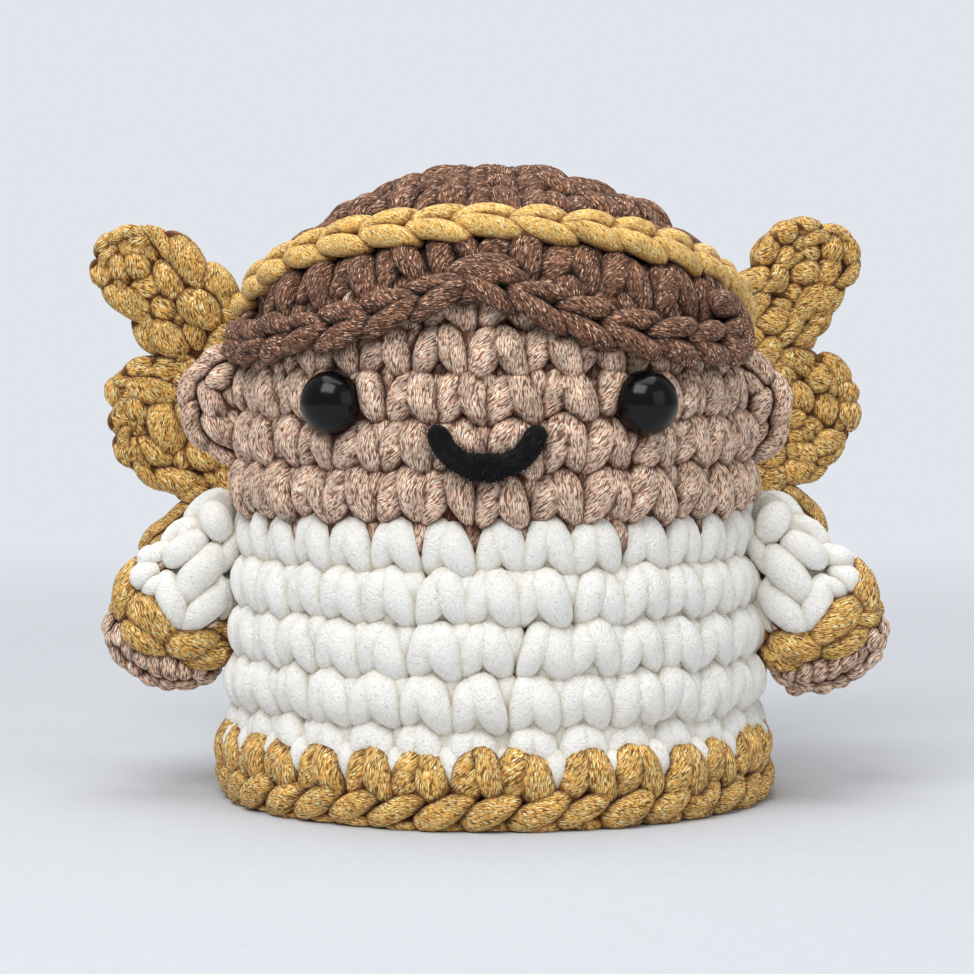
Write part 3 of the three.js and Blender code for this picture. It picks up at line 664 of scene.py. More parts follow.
def make_gown():
    piece = Piece("gown_yarn", 11, [WHITE, SKIN])
    last = len(GOWN_ROWS) - 1
    for number, (height, radius) in enumerate(GOWN_ROWS):
        top = number == last
        stitch_row(piece, ring_track(radius - THICK, height), STITCHES, 0.19 - DRIFT * (last - number),
                   STITCH_HEIGHT * (TOP_ROW if top else 1), loops=1 if top else 0, size=1.05)
    outer = [(radius - WALL + 0.6, height) for height, radius in GOWN_ROWS]
    outer = [(outer[0][0], 5.5)] + outer + [(outer[-1][0], 41.4)]
    inner = [(radius - LINING, height) for radius, height in outer]
    piece.shell(outer + inner[::-1], 1)
    piece.build("torso", ["gown_knit"])


def make_head():
    piece = Piece("head_yarn", 12, [SKIN])
    for number, (height, radius) in enumerate(FACE_ROWS):
        stitch_row(piece, ring_track(radius - THICK, height), STITCHES, 0.3 + 0.13 * number,
                   STITCH_HEIGHT, size=1.12, jitter=1.35)
    for number, (height, radius, only) in enumerate(BROW_ROWS):
        stitch_row(piece, ring_track(radius - THICK, height, lean=0.35), STITCHES - 3 * (number + 1),
                   0.1 + 0.2 * number, STITCH_HEIGHT, only, size=0.98)
    outer = [(radius - WALL + 0.5, height) for height, radius in FACE_ROWS]
    outer = [(outer[0][0] - 0.5, 41.6)] + outer + CROWN
    inner = [(max(radius - LINING, 0), height - (0 if radius > 25 else LINING))
             for radius, height in outer[:-1]]
    piece.shell([(0, CROWN[-1][1] - LINING)] + inner[::-1] + outer)
    piece.build("torso", ["head_knit"])


# The ridge round the foot: fat leaves that lie over one another, and smaller ones beneath
RIDGE_LEAF = [(-0.62, -0.34, -1.9, 0.6, 0.6), (-0.36, -0.3, -0.1, 0.95, 0.95), (-0.02, -0.08, 0.55, 1.08, 1),
              (0.3, 0.18, 0.45, 1.05, 1), (0.56, 0.36, -0.4, 0.85, 0.85), (0.74, 0.4, -1.8, 0.55, 0.6)]
RIDGE_UNDER = [(-0.4, -0.3, -1.8, 0.7, 0.7), (-0.1, -0.5, -0.5, 1, 1), (0.3, -0.55, -0.3, 1, 1),
               (0.6, -0.4, -1.4, 0.7, 0.7)]
RIDGE = {"radius": 38.6, "height": 2.75, "lean": -0.12, "period": 6.35}


def make_hem():
    piece = Piece("hem_yarn", 13, [GOLD, WHITE])
    height, radius = HEM_ROW
    stitch_row(piece, ring_track(radius - THICK, height, lean=-0.15), STITCHES, -0.2, HEM_HEIGHT, loops=1,
               size=1.06, parts=("side", "left", "right"))
    ridge = ring_track(RIDGE["radius"], RIDGE["height"], RIDGE["lean"])
    starts, pitch = spaced(ridge, round(ridge.length / RIDGE["period"]))
    piece.strands(ridge, starts, RIDGE_UNDER, pitch, 3.6, (1.3, 1.4))
    piece.strands(ridge, starts, RIDGE_LEAF, pitch, 4.3, (1.85, 1.7), rings=16, sides=12, ends=(0.26, 0.28))
    piece.shell([(36.3, 0.6), (36.3, 8.0), (34.9, 8.0), (34.9, 0.6)])
    piece.build("torso", ["hem_knit"])


# The hair, over half an ellipse and a nape below its middle. Its rounds are (height, tilt, stitches)
DOME = {"radius": 37.2, "rise": 30.5, "centre": 60.0, "nape": 39.2, "nape_top": 63.6}
HAIR_ROWS = [(65.6, 0.17, 31), (72.0, 0.15, 29), (77.8, 0.12, 25), (82.5, 0.09, 19), (85.9, 0.05, 13),
             (88.0, 0.0, 7)]
HAIR_HEIGHT = 7.2
# The few stitches that close the crown: their ring's radius, height and lean, and where they start on it
CROWN_RING = (2.2, 88.4, 1.2)
CROWN_STARTS = np.arange(4) * 3.4
TEMPLE = 9.0
BAND = {"height": 71.5, "front": 0.38, "back": 0.25}


def dome_radius(height, proud):
    """The hair's outside radius at a height, moved out by proud."""
    share = (height - DOME["centre"]) / (DOME["rise"] + proud)
    crown = (DOME["radius"] + proud) * math.sqrt(max(0, 1 - share ** 2))
    low = np.interp(height, [DOME["centre"], DOME["nape_top"]], [DOME["nape"] + proud, 0])
    return max(crown, low) if height < DOME["nape_top"] else crown


def dome_point(angle, height_at, proud):
    """The point of the hair in a direction from the front, at the height that goes with its depth."""
    radius = DOME["radius"]
    for _ in range(40):
        height = height_at(-radius * math.cos(angle))
        radius = 0.5 * radius + 0.5 * dome_radius(height, proud)
    point = around(angle, radius, height=height)
    steep = max(0, height - DOME["centre"]) / (DOME["rise"] + proud) ** 2
    return point, unit(np.array([*point[:2] / DOME["radius"] ** 2, steep]))


def dome_track(height_at, proud, angles):
    """A closed ring over the hair."""
    return Track(*zip(*[dome_point(angle, height_at, proud) for angle in angles]), closed=True)


def surface_track(path, proud):
    """A track over the hair through (turn from the front in degrees, height) pairs."""
    return Track(*zip(*[dome_point(math.radians(turn), lambda y, h=h: h, proud) for turn, h in path]))


def band_height(y):
    return BAND["height"] - y * (BAND["front"] if y < 0 else BAND["back"])


def hair_edge(y):
    """How low the hair's core reaches, front to back: the band, a temple and the nape."""
    return np.interp(y, [-38, -10, -5, 39], [band_height(-38) - 2.4, band_height(-10) - 2.4, 64.4, 58.6])


def dome_sheet(piece, proud, thickness, rings=14):
    """A closed sheet inside the hair, from its edge up to the crown."""
    angles = turns(64)
    edges = np.array([dome_point(angle, hair_edge, proud)[0][2] for angle in angles])
    shares = np.linspace(0, 0.995, rings)
    outer = []
    for share in shares:
        heights = edges + (DOME["centre"] + DOME["rise"] + proud - edges) * share
        radius = np.array([dome_radius(h, proud) for h in heights])
        outer.append(around(angles, radius, height=heights))
    inner = np.array(outer) * [1 - thickness / DOME["radius"], 1 - thickness / DOME["radius"], 1]
    inner[:, :, 2] -= thickness * shares[:, None]
    # The sheet is painted in full shade
    piece.closed_form(np.concatenate([inner[::-1], outer]), 0.4, 23 / 64, depth=1)


def make_hair():
    piece = Piece("hair_cap_yarn", 14, [BROWN])
    for height, tilt, count in HAIR_ROWS:
        track = dome_track(lambda y, h=height, t=tilt: h - t * y, -THICK, turns(96))
        starts, pitch = spaced(track, count)
        points, _ = track.place(starts, 0 * starts, 0 * starts)
        shown = (points[:, 1] > -TEMPLE) | (points[:, 2] > [band_height(y) - 1 for y in points[:, 1]])
        stitch_round(piece, track, starts[shown], pitch, HAIR_HEIGHT)
    piece.strands(ring_track(*CROWN_RING), CROWN_STARTS, LEFT_LEG, 5, 4, (1.7, 1.6), rings=9)
    dome_sheet(piece, -3.0, 0.9)
    piece.build("torso", ["hair_cap"])


# The fringe's lower edges and its stitches' middles, as (turn from the front in degrees, height), from a
# temple over the middle
FRINGE_PROUD = 0.6
FRINGE_EDGE = {
    "right": [(-80, 65.4), (-62, 65.6), (-46, 66.8), (-31, 68.2), (-19.5, 70.6), (-10, 72.8), (-1, 74.9),
              (8, 76.6), (16, 77.6)],
    "left": [(-5, 74.2), (1, 73.4), (9.5, 71.4), (20, 69.0), (34, 66.8), (48, 65.7), (60, 65.6), (70, 66.4)],
}
FRINGE_ROWS = {"right": [(-66, 71.2), (-50, 72.6), (-34, 74.2), (-20, 76.4), (-6, 79.0)],
               "left": [(0, 78.6), (14, 76.6), (26, 74.8), (40, 73.2), (54, 71.8), (70, 70.6)]}
# A flap's stitches: how far apart they are, how high and how large. A second row lies this much lower
FLAP = {"pitch": 7.3, "height": 8.6, "size": 1.08, "lower": 4.2, "lower_height": 6.0}
# The loop that ends the left flap at its temple: its middle and its half width and height
TEMPLE_LOOP = {"middle": (62, 67.6), "size": (7.0, 3.4), "proud": 1.2}


def softened(path):
    """Many points along a path of (turn, height) pairs, with its corners rounded."""
    spots = np.linspace(0, len(path) - 1, 8 * len(path))
    columns = [np.interp(spots, range(len(path)), values) for values in zip(*path)]
    for values in columns:
        values[4:-4] = np.convolve(values, np.ones(9) / 9, "valid")
    return list(zip(*columns))


def fringe_backing(piece, side):
    """A thin closed plate behind a flap's stitches, from its edge up to the band."""
    angles, heights = zip(*FRINGE_EDGE[side])
    rings = []
    for turn in np.linspace(angles[0] + 2, angles[-1] - 2, 30):
        angle = math.radians(turn)
        high = dome_point(angle, band_height, -2.4)[0][2] - 1
        low = min(np.interp(turn, angles, heights) + 0.6, high - 1)
        line = [(proud, height) for proud, ends in ((-2.2, (low, high)), (-3.2, (high, low)))
                for height in np.linspace(*ends, 6)]
        rings.append([around(angle, dome_radius(height, proud), height=height) for proud, height in line])
    # The plate is painted in full shade
    piece.closed_form(np.array(rings), 0.3, 0.2, depth=1)


def make_fringe(side):
    piece = Piece(f"fringe_{side}_yarn", 15 + (side == "right"), [BROWN])
    rows = surface_track(softened(FRINGE_ROWS[side]), -THICK + 0.2)
    count = round(rows.length / FLAP["pitch"])
    stitch_round(piece, rows, *spaced(rows, count, 0.5), FLAP["height"], size=FLAP["size"])
    lower = [(turn, height - FLAP["lower"]) for turn, height in FRINGE_ROWS[side]]
    under = surface_track(softened(lower), -THICK - 0.8)
    stitch_round(piece, under, *spaced(rows, count, 0.2), FLAP["lower_height"], parts=("left", "right"))
    fringe_backing(piece, side)
    chain(piece, surface_track(softened(FRINGE_EDGE[side]), FRINGE_PROUD), 7.0, 5.4, (1.5, 1.6),
          flip=side == "right")
    if side == "left":
        (turn, height), (wide, high) = TEMPLE_LOOP["middle"], TEMPLE_LOOP["size"]
        loop = [(turn + wide * math.sin(a), height - high * math.cos(a))
                for a in np.linspace(-0.2, 1.2, 24) * math.pi]
        piece.cord(surface_track(loop, TEMPLE_LOOP["proud"]), 2.1, 1.9)
    piece.build("torso", ["fringe_" + side])


def make_headband():
    piece = Piece("headband_yarn", 17, [BAND_GOLD])
    angles = turns(120) - math.pi
    chain(piece, dome_track(band_height, 0.9, angles), 7.1, 5.2, (1.6, 1.6))
    piece.cord(dome_track(band_height, -0.9, angles), 1.5, 0.8, closed=True)
    piece.build("torso", ["headband"])


# The ears: a cord round half a disc, and stitches over its cup, as (out, up) from its middle. The stitches
# also have a half width and how far they lie behind the front
EAR = {"out": {"left": 34.4, "right": 37.4}, "depth": 3.2, "height": {"left": 55.0, "right": 56.0}}
EAR_CORD = [(-2.6, 7.0), (0.0, 7.2), (2.1, 6.8), (4.0, 5.6), (5.4, 4.0), (6.1, 2.1), (6.2, 0.2), (5.9, -1.7),
            (5.0, -3.5), (3.6, -5.0), (1.8, -6.1), (-0.8, -6.6)]
EAR_LEAVES = [((-2.7, 4.6), (0.7, 4.6), 1.5, 0.6), ((0.4, 5.5), (3.7, 2.9), 1.6, 0.2),
              ((4.3, 2.7), (2.2, -1.9), 1.75, 0.0), ((3.9, -1.8), (-0.4, -5.2), 1.8, 0.1),
              ((1.5, 3.1), (-0.7, 0.2), 1.7, 1.0), ((1.4, -0.9), (-0.9, -3.2), 1.6, 1.1),
              ((2.2, 0.9), (0.4, -1.4), 1.5, 1.3), ((-0.6, 2.6), (-2.6, 3.4), 1.6, 1.1)]
# The closed disc inside an ear, as rings of (radius, depth)
EAR_DISC = [(0.5, 0.9), (5.0, 0.9), (5.0, 2.2), (0.5, 2.2)]


def ear_points(side, flat, depth):
    """Points of an ear from (out, up) pairs, at a depth behind its front."""
    centre = np.array([WAY[side] * EAR["out"][side], -EAR["depth"], EAR["height"][side]])
    return centre + upright(side, np.array(flat, float), depth)


def outward_of(side, flat):
    """The ways out from an outline of (out, up) pairs, away from what it goes round."""
    ahead = unit(np.gradient(flat, axis=0))
    return np.stack([WAY[side] * -ahead[:, 1], 0 * ahead[:, 0], ahead[:, 0]], -1)


def make_ear(side):
    left = side == "left"
    piece = Piece(f"ear_{side}_yarn", 19 - left, [SKIN])
    path = smooth([(x, z, 0) for x, z in EAR_CORD], 48)[:, :2]
    outward = outward_of(side, path)
    rim = Track(ear_points(side, path, 0.7), outward * 0.8 + [0, -1, 0])
    chain(piece, rim, 5.6, 3.0, (1.5, 1.5), flip=left, phase=0.3, arms=(WAY[side],))
    back = Track(ear_points(side, path * 0.9, 2.7), outward * 0.5 + [0, 1, 0])
    chain(piece, back, 5.4, 3.4, (1.5, 1.5), flip=not left)
    for start, end, half, sunk in EAR_LEAVES:
        for facing, depth in ((-1, sunk - 0.2), (1, 2.6 - sunk * 0.6)):
            line = ear_points(side, np.linspace(start, end, 8), depth)
            plane_leaf(piece, Track(line, np.tile([0.0, facing, 0.0], (8, 1))), half)
    angle = turns(20)
    circle = np.stack([np.cos(angle), np.sin(angle)], -1)
    disc = [ear_points(side, circle * radius - [0.6, 0], depth) for radius, depth in EAR_DISC]
    piece.closed_form(np.array(disc), 0.3, 0.15)
    piece.build("torso", ["ear_" + side])


# The eyes: domed heads with a thin rim, on their posts
EYE = {"radius": 4.5, "height": 57.5, "turn": 35, "seat": 36.6, "bulge": 4.9, "edge": 0.55, "post": 1.5,
       "reach": 11, "shine": 0.26}


def eye_material():
    n = noise_material("eye_plastic", 900.0, 4.0, [(0.3, (0.02, 0.02, 0.022)), (0.8, (0.04, 0.04, 0.045))],
                       [(0.35, 0.15), (0.8, 0.22)], (0.1, 0.02))
    n.set(Specular_IOR_Level=EYE["shine"])
    return n.material


def make_eye(side, material):
    radius, bulge, edge, post, reach = (EYE[key] for key in ("radius", "bulge", "edge", "post", "reach"))
    dome = [(radius * math.sin(a), edge + (bulge - edge) * math.cos(a))
            for a in np.linspace(math.pi / 2, 0, 22)]
    profile = [(0, -reach), (post * 0.8, -reach), (post, -reach + 0.6), (post, -0.02), (radius - 0.25, 0),
               (radius - 0.02, 0.15), (radius, 0.35), *dome[:-1], (0, bulge)]
    piece = Piece("eye_dome_" + side, 20, [material])
    piece.shell(profile)
    turn = WAY[side] * math.radians(EYE["turn"])
    flat = np.array([[1, 0, 0], [0, 0, -1], [0, 1, 0]], float)
    spin = np.array([[math.cos(turn), -math.sin(turn), 0], [math.sin(turn), math.cos(turn), 0], [0, 0, 1]])
    piece.vertices = [(v @ flat.T + [0, -EYE["seat"], EYE["height"]]) @ spin.T for v in piece.vertices]
    piece.build("torso", ["eye_" + side])


# The smile: a strand laid in a bow, and a wrapped stitch over its lowest point
SMILE = {"half": 6.65, "height": 54.5, "drop": 5.5, "radius": 38.9}
# The wrapped stitch runs over the smile's strand from its top to its underside
TACK_TURN = [(0.1, 0.5, -1.0, 1, 1), (0.04, 0.46, 0.3, 1, 1), (0, 0.22, 0.98, 1, 1),
             (-0.02, -0.22, 0.98, 1, 1), (-0.06, -0.46, 0.3, 1, 1), (-0.1, -0.5, -1.0, 1, 1)]


def smile_track(start, end):
    """A part of the bow, its ends in half turns."""
    angle = np.linspace(math.pi * start, math.pi * end, 30)
    normals = around(-SMILE["half"] * np.cos(angle) / SMILE["radius"])
    heights = SMILE["height"] - SMILE["drop"] * np.sin(angle)
    return Track(normals * SMILE["radius"] + heights[:, None] * [0, 0, 1], normals)


def make_smile():
    piece = Piece("smile_strand_yarn", 21, [BLACK])
    piece.cord(smile_track(-0.02, 1.02), 1.6, 1.25)
    piece.fuzz(smile_track(0.0, 1.0), 1.6, 1.25, 700)
    piece.build("torso", ["smile_strand"])
    tack = Piece("smile_tack_yarn", 22, [BLACK])
    middle = smile_track(0.405, 0.6)
    tack.strands(middle, np.linspace(0.05, 0.95, 9) * middle.length, TACK_TURN, 1.2, 3.55, (0.24, 0.24),
                 jitter=0.3)
    tack.fuzz(middle, 1.75, 1.3, 260, reach=(0.3, 0.8))
    tack.build("torso", ["smile_tack"])


# The arms hang from their shoulder seams. Along is measured down the arm
ARM = {"out": 39.2, "depth": 2.0, "height": 42.5, "splay": 22.8}


def arm_matrix(way):
    turn = way * math.radians(ARM["splay"])
    matrix = np.eye(4)
    matrix[:3, :3] = [[math.cos(turn), 0, -math.sin(turn)], [0, 1, 0], [math.sin(turn), 0, math.cos(turn)]]
    matrix[:3, 3] = [way * ARM["out"], -ARM["depth"], ARM["height"]]
    return matrix


def arm_ring(way, along, width, depth, lean):
    """A closed ring round the arm, seen from its front towards the doll's left."""
    angle = turns(48)
    normals = unit(around(angle, 1 / width, 1 / depth)) * math.cos(lean) + [0, 0, math.sin(lean)]
    return Track(around(angle, width, depth, -along), normals, closed=True).moved(arm_matrix(way))


def arm_core(piece, way, rings):
    """A closed form inside the arm's stitches, through rings of (along, half width, half depth)."""
    grid = np.array([around(-turns(20), width, depth, -along) for along, width, depth in rings])
    piece.closed_form(carried(grid, arm_matrix(way)), 0.4, 0.175)


# The arm's front stitches, as (across towards the body, along the arm) from end to end, and a half width
SLEEVE_LEAVES = [
    ((3.0, -1.0), (4.0, 1.8), 1.3), ((-0.9, 1.9), (2.1, 4.6), 2.15), ((4.2, 1.2), (3.4, 9.2), 1.6),
    ((-0.8, 6.4), (-3.6, 10.6), 2.05), ((-7.2, 12.6), (-5.0, 10.6), 1.6),
    ((-6.9, 16.0), (-5.2, 12.9), 1.8), ((-4.7, 16.2), (-2.6, 13.2), 1.3), ((2.2, 7.4), (0.1, 14.6), 2.35),
    ((-2.9, 13.6), (1.1, 18.3), 2.0), ((3.4, 10.4), (6.9, 14.4), 1.3), ((5.0, 11.8), (2.4, 18.2), 2.2),
]
SLEEVE_SKIN = [((4.4, 18.1), (5.9, 16.0), 1.0), ((1.0, 16.8), (1.6, 14.7), 0.9),
               ((-5.0, 17.2), (-2.6, 17.0), 0.9)]
CUFF_LEAVES = [((-7.7, 13.6), (-7.0, 20.6), 1.9), ((-5.4, 18.2), (0.7, 20.3), 1.95),
               ((-5.3, 22.2), (0.6, 22.5), 1.6), ((1.2, 21.6), (7.0, 19.2), 1.8),
               ((4.4, 23.0), (9.3, 19.2), 1.55), ((7.4, 18.0), (8.8, 15.0), 1.6)]
HAND_LEAVES = [
    ((-8.2, 21.4), (-7.6, 24.6), 1.2), ((-7.6, 23.6), (-5.6, 26.2), 1.25), ((-6.2, 25.2), (-3.2, 27.2), 1.25),
    ((-3.9, 26.2), (-1.0, 27.8), 1.25), ((-1.4, 27.5), (1.8, 27.8), 1.15), ((1.2, 27.8), (4.2, 26.9), 1.15),
    ((3.8, 27.0), (6.4, 25.2), 1.2), ((6.0, 25.6), (8.2, 23.2), 1.2), ((-6.6, 22.6), (-4.8, 24.8), 1.3),
    ((-4.9, 23.6), (-2.6, 25.8), 1.3), ((-3.0, 23.6), (-0.6, 26.0), 1.35), ((-0.9, 23.8), (1.4, 26.4), 1.35),
    ((1.2, 23.6), (3.4, 26.0), 1.35), ((3.2, 23.4), (5.2, 25.4), 1.3), ((5.0, 22.8), (6.8, 24.6), 1.25),
    ((6.8, 21.8), (8.2, 23.4), 1.1),
]
# Each set's width over the listed one, and how deep it lies
SLEEVE_SET, SKIN_SET, CUFF_SET, HAND_SET = (1, 0), (1, 0.9), (1.3, 0.5), (1, 0.75)
# The form of a stitch that runs from end to end
LEAF = [(-0.18, 0, -1.6, 0.5, 0.65), (0.0, 0, -0.45, 0.86, 0.9), (0.3, 0, 0.4, 1.08, 1),
        (0.62, 0, 0.5, 1.08, 1), (0.97, 0, -0.35, 0.84, 0.9), (1.17, 0, -1.6, 0.46, 0.6)]
# How far down the arm, and its half widths and half depths there
ARM_SPOTS = [-2, 0, 5, 10, 17, 21, 24, 26.5, 28.5]
ARM_WIDTHS = [3.4, 3.7, 4.2, 6.1, 8.2, 8.6, 8.2, 6.6, 4.6]
ARM_DEPTHS = [2.6, 3.0, 4.0, 5.2, 6.4, 6.6, 6.2, 4.6, 2.4]
# The rings of the closed forms in the arm
SLEEVE_CORE = [(-0.6, 1.2, 1.2), (1, 2.2, 2.2), (5, 2.9, 3.0), (10, 4.6, 4.1), (15, 6.6, 5.2),
               (16.6, 6.6, 5.2)]
CUFF_CORE = [(16.2, 6.0, 4.8), (17.4, 7.3, 5.7), (21, 7.6, 5.9), (22.2, 7.0, 5.5)]
HAND_CORE = [(22.0, 7.2, 5.4), (24.0, 7.5, 5.6), (26.0, 6.2, 4.6), (27.3, 4.4, 3.2), (28.2, 1.8, 1.2)]
# The sleeve's rounds as (along, half width, half depth, stitches). The last shows skin between its stitches
SLEEVE_ROWS = [(2.8, 2.6, 2.8, 4), (7.8, 3.8, 4.0, 5), (13.2, 6.4, 5.4, 7)]
# Stitches round the back of the arm reach forward as far as these cosines of the way round
SLEEVE_BEHIND = 0.35
CUFF_BEHIND = 0.62
# Those of the cuff and the hand, as (along, stitches, half width and thickness, lean, height, phase)
CUFF_ROUNDS = [(17.9, 7, (1.9, 1.7), 0.1, 2.6, 0.5), (20.7, 7, (1.9, 1.7), -0.05, 2.6, 0.1)]
HAND_ROUNDS = [(23.6, 13, (1.2, 1.2), -0.3, 3.4, 0.5), (26.0, 11, (1.1, 1.1), -0.9, 3.0, 0.2)]
CUFF_BACK = [(-0.5, 0.3, -2.2, 0.7, 0.7), (-0.36, 0.22, -0.5, 1, 0.95), (-0.1, 0.06, 0.45, 1.08, 1),
             (0.16, -0.08, 0.45, 1.05, 1), (0.38, -0.2, -0.5, 0.95, 0.92), (0.5, -0.26, -2.2, 0.65, 0.7)]


def arm_size(along):
    return np.interp(along, ARM_SPOTS, ARM_WIDTHS), np.interp(along, ARM_SPOTS, ARM_DEPTHS)


def behind(track, starts, limit):
    return starts[np.cos(starts / track.length * TURN) < limit]


def plane_leaf(piece, track, half, material=0, jitter=0.5, thick=0.88):
    """One stitch from end to end of a short track, its ends turned in."""
    piece.strands(track, [0.0], LEAF, track.length, 1.0, (half, half * thick), material, rings=16, sides=12,
                  ends=(0.3, 0.32), jitter=jitter)


def arm_leaves(piece, way, leaves, scale, sunk, material=0):
    """Stitches over the front of the arm."""
    for start, end, half in leaves:
        across, along = np.linspace(start, end, 12).T
        width, depth = arm_size(along)
        share = np.clip(across / (width + 0.6), -0.97, 0.97)
        front = -depth * np.sqrt(1 - share ** 2)
        steep = np.gradient(depth, along)
        points = np.stack([-way * across, front + sunk, -along], -1)
        normals = np.stack([-way * share / (width + 0.6), front / depth ** 2, steep / depth * 0.6], -1)
        plane_leaf(piece, Track(points, unit(normals)).moved(arm_matrix(way)), half * scale, material)


def back_round(piece, way, along, count, size, lean, height, phase):
    """Stitches round the back and the sides of the arm, where the front ones leave off."""
    width, depth = arm_size(along)
    track = arm_ring(way, along, width - 0.9, depth - 0.7, lean)
    starts, pitch = spaced(track, count, phase)
    piece.strands(track, behind(track, starts, CUFF_BEHIND), CUFF_BACK, pitch, height, size, sides=12)


def make_arm(side):
    way, seed, body = WAY[side], 30 if side == "left" else 40, "arm_" + side
    sleeve = Piece(f"sleeve_{side}_yarn", seed, [WHITE, SKIN])
    arm_core(sleeve, way, SLEEVE_CORE)
    for along, width, depth, count in SLEEVE_ROWS:
        track = arm_ring(way, along, width, depth, lean=0.25)
        starts, pitch = spaced(track, count, 0.5)
        stitch_round(sleeve, track, behind(track, starts, SLEEVE_BEHIND), pitch, 6.6,
                     parts=("side", "left", "right"), loops=1 if along == SLEEVE_ROWS[-1][0] else 0)
    arm_leaves(sleeve, way, SLEEVE_SKIN, *SKIN_SET, material=1)
    arm_leaves(sleeve, way, SLEEVE_LEAVES, *SLEEVE_SET)
    sleeve.build(body, ["sleeve_" + side])
    cuff = Piece(f"cuff_{side}_yarn", seed + 1, [GOLD])
    arm_core(cuff, way, CUFF_CORE)
    for entry in CUFF_ROUNDS:
        back_round(cuff, way, *entry)
    arm_leaves(cuff, way, CUFF_LEAVES, *CUFF_SET)
    cuff.build(body, ["cuff_" + side])
    hand = Piece(f"hand_{side}_yarn", seed + 2, [SKIN])
    arm_core(hand, way, HAND_CORE)
    for entry in HAND_ROUNDS:
        back_round(hand, way, *entry)
    arm_leaves(hand, way, HAND_LEAVES, *HAND_SET)
    hand.build(body, ["hand_" + side])


# The wings: two lobes of short stitches with a chain over their narrow edge, and a doubled cord as a tail.
# Lobes run through circles of (out, height, radius)
WING = {"seat": 10.0, "reach": 37.6, "turn": {"left": 27, "right": -5}}
LOBES = {
    "upper": [(3.2, 47.8, 3.0), (33, 63.5, 7.5), (48, 77.2, 6.6)],
    "lower": [(3.2, 42.6, 3.4), (22, 48, 8), (41.8, 51.6, 10.8)],
}
# The closed plate inside a lobe: how far it stays inside its outline, and its rings as (share of the way from
# its middle line, depth)
PLATE_INSET = 2.8
PLATE_RINGS = [(0.3, 1.15), (1, 1.3), (1, 3.1), (0.3, 3.25)]
# The chain on the edge: its inset and depth. The edge is open to the light, so its painted shade is this
# share of its usual painted shade
RIM = {"inset": 1.9, "depth": 2.25, "darkness": 0.3}
# The depths of a wing's front and back stitches, and their width over the listed one
FACES = ((-1, 1.7), (1, 2.8))
LEAF_WIDTH = 1.3
# Close to the body the stitches are thinner, which leaves room for the wing to fold: (out) and the share
ROOT_LEAVES = ([4, 14], [0.62, 1.0])
# The stitches that fill a lobe: how far apart they are, their half width, how far back they start, how long
# they are and where their middle is. Those between listed stitches lie deeper
FILLER = {"rows": 4.1, "beside": 3.5, "half": 2.1, "back": 2.3, "long": 4.9, "middle": 2.4, "sink": 0.45}
# A listed stitch hides what lies this close to its middle line
COVERED = 2.3


def wing_matrix(side):
    turn = math.radians(WING["turn"][side])
    matrix = np.eye(4)
    matrix[:2, :2] = [[math.cos(turn), -math.sin(turn)], [math.sin(turn), math.cos(turn)]]
    matrix[:2, 3] = [WAY[side] * WING["seat"], math.sqrt(WING["reach"] ** 2 - WING["seat"] ** 2)]
    return matrix


def lobe_line(lobe, steps=24):
    """Points down the middle of a lobe, and its half widths there."""
    pick = np.linspace(0, 59, steps).astype(int)
    halves = [half for _, _, half in LOBES[lobe]]
    return smooth(LOBES[lobe], 60)[pick, :2], np.interp(np.linspace(0, 1, steps), [0, 0.5, 1], halves)


def lobe_edge(lobe, inset):
    """The lobe's outline from its root over its tip and back, moved in by an inset."""
    line, half = lobe_line(lobe)
    ahead = unit(np.gradient(line, axis=0))
    across = np.stack([-ahead[:, 1], ahead[:, 0]], -1)
    out = across * (half - inset)[:, None]
    start = math.atan2(across[-1, 1], across[-1, 0])
    tip = [line[-1] + (half[-1] - inset) * np.array([math.cos(start - a), math.sin(start - a)])
           for a in np.linspace(0, math.pi, 14)[1:-1]]
    return np.vstack([line + out, tip, (line - out)[::-1]])


def wing_track(side, flat, depth, facing=-1):
    """A track over the wing through flat (out, height) points, at a depth behind its front."""
    normals = np.tile([0.0, facing, 0.0], (len(flat), 1))
    return Track(upright(side, flat, depth), normals).moved(wing_matrix(side))


def lobe_plate(piece, side, lobe):
    """A closed plate inside a lobe, behind its strands."""
    edge, line = lobe_edge(lobe, PLATE_INSET), lobe_line(lobe)[0]
    nearest = np.array([line[np.argmin(np.linalg.norm(line - p, axis=1))] for p in edge])
    grid = np.array([upright(side, nearest + (edge - nearest) * share, depth)
                     for share, depth in PLATE_RINGS])
    piece.closed_form(carried(grid, wing_matrix(side)), 0.5, 0.2)


def rim_chain(piece, side, lobe):
    """A chain over the narrow edge between a lobe's front and back."""
    flat = lobe_edge(lobe, RIM["inset"])
    track = Track(upright(side, flat, RIM["depth"]), outward_of(side, flat)).moved(wing_matrix(side))
    before = len(piece.depths)
    right = side == "right"
    chain(piece, track, 6.3, 3.6, (1.2, 1.3), flip=right, phase=1.0 if right else 0.0)
    # The chain's painted shade is lighter, as the edge is open to the light
    piece.depths[before:] = [depth * RIM["darkness"] for depth in piece.depths[before:]]


def wing_leaf(piece, side, start, end, half, depth, facing):
    flat = np.linspace(start, end, 10)
    plane_leaf(piece, wing_track(side, flat, depth, facing), half, jitter=0.8, thick=0.72)


def is_covered(side, lobe, spot):
    """Whether a listed stitch lies over a spot of a lobe."""
    rows = np.array(WING_LEAVES[side][lobe])
    starts, ends = rows[:, :2], rows[:, 2:4]
    share = ((spot - starts) * (ends - starts)).sum(1) / ((ends - starts) ** 2).sum(1)
    nearest = starts + share.clip(0, 1)[:, None] * (ends - starts)
    return np.linalg.norm(nearest - spot, axis=1).min() < COVERED


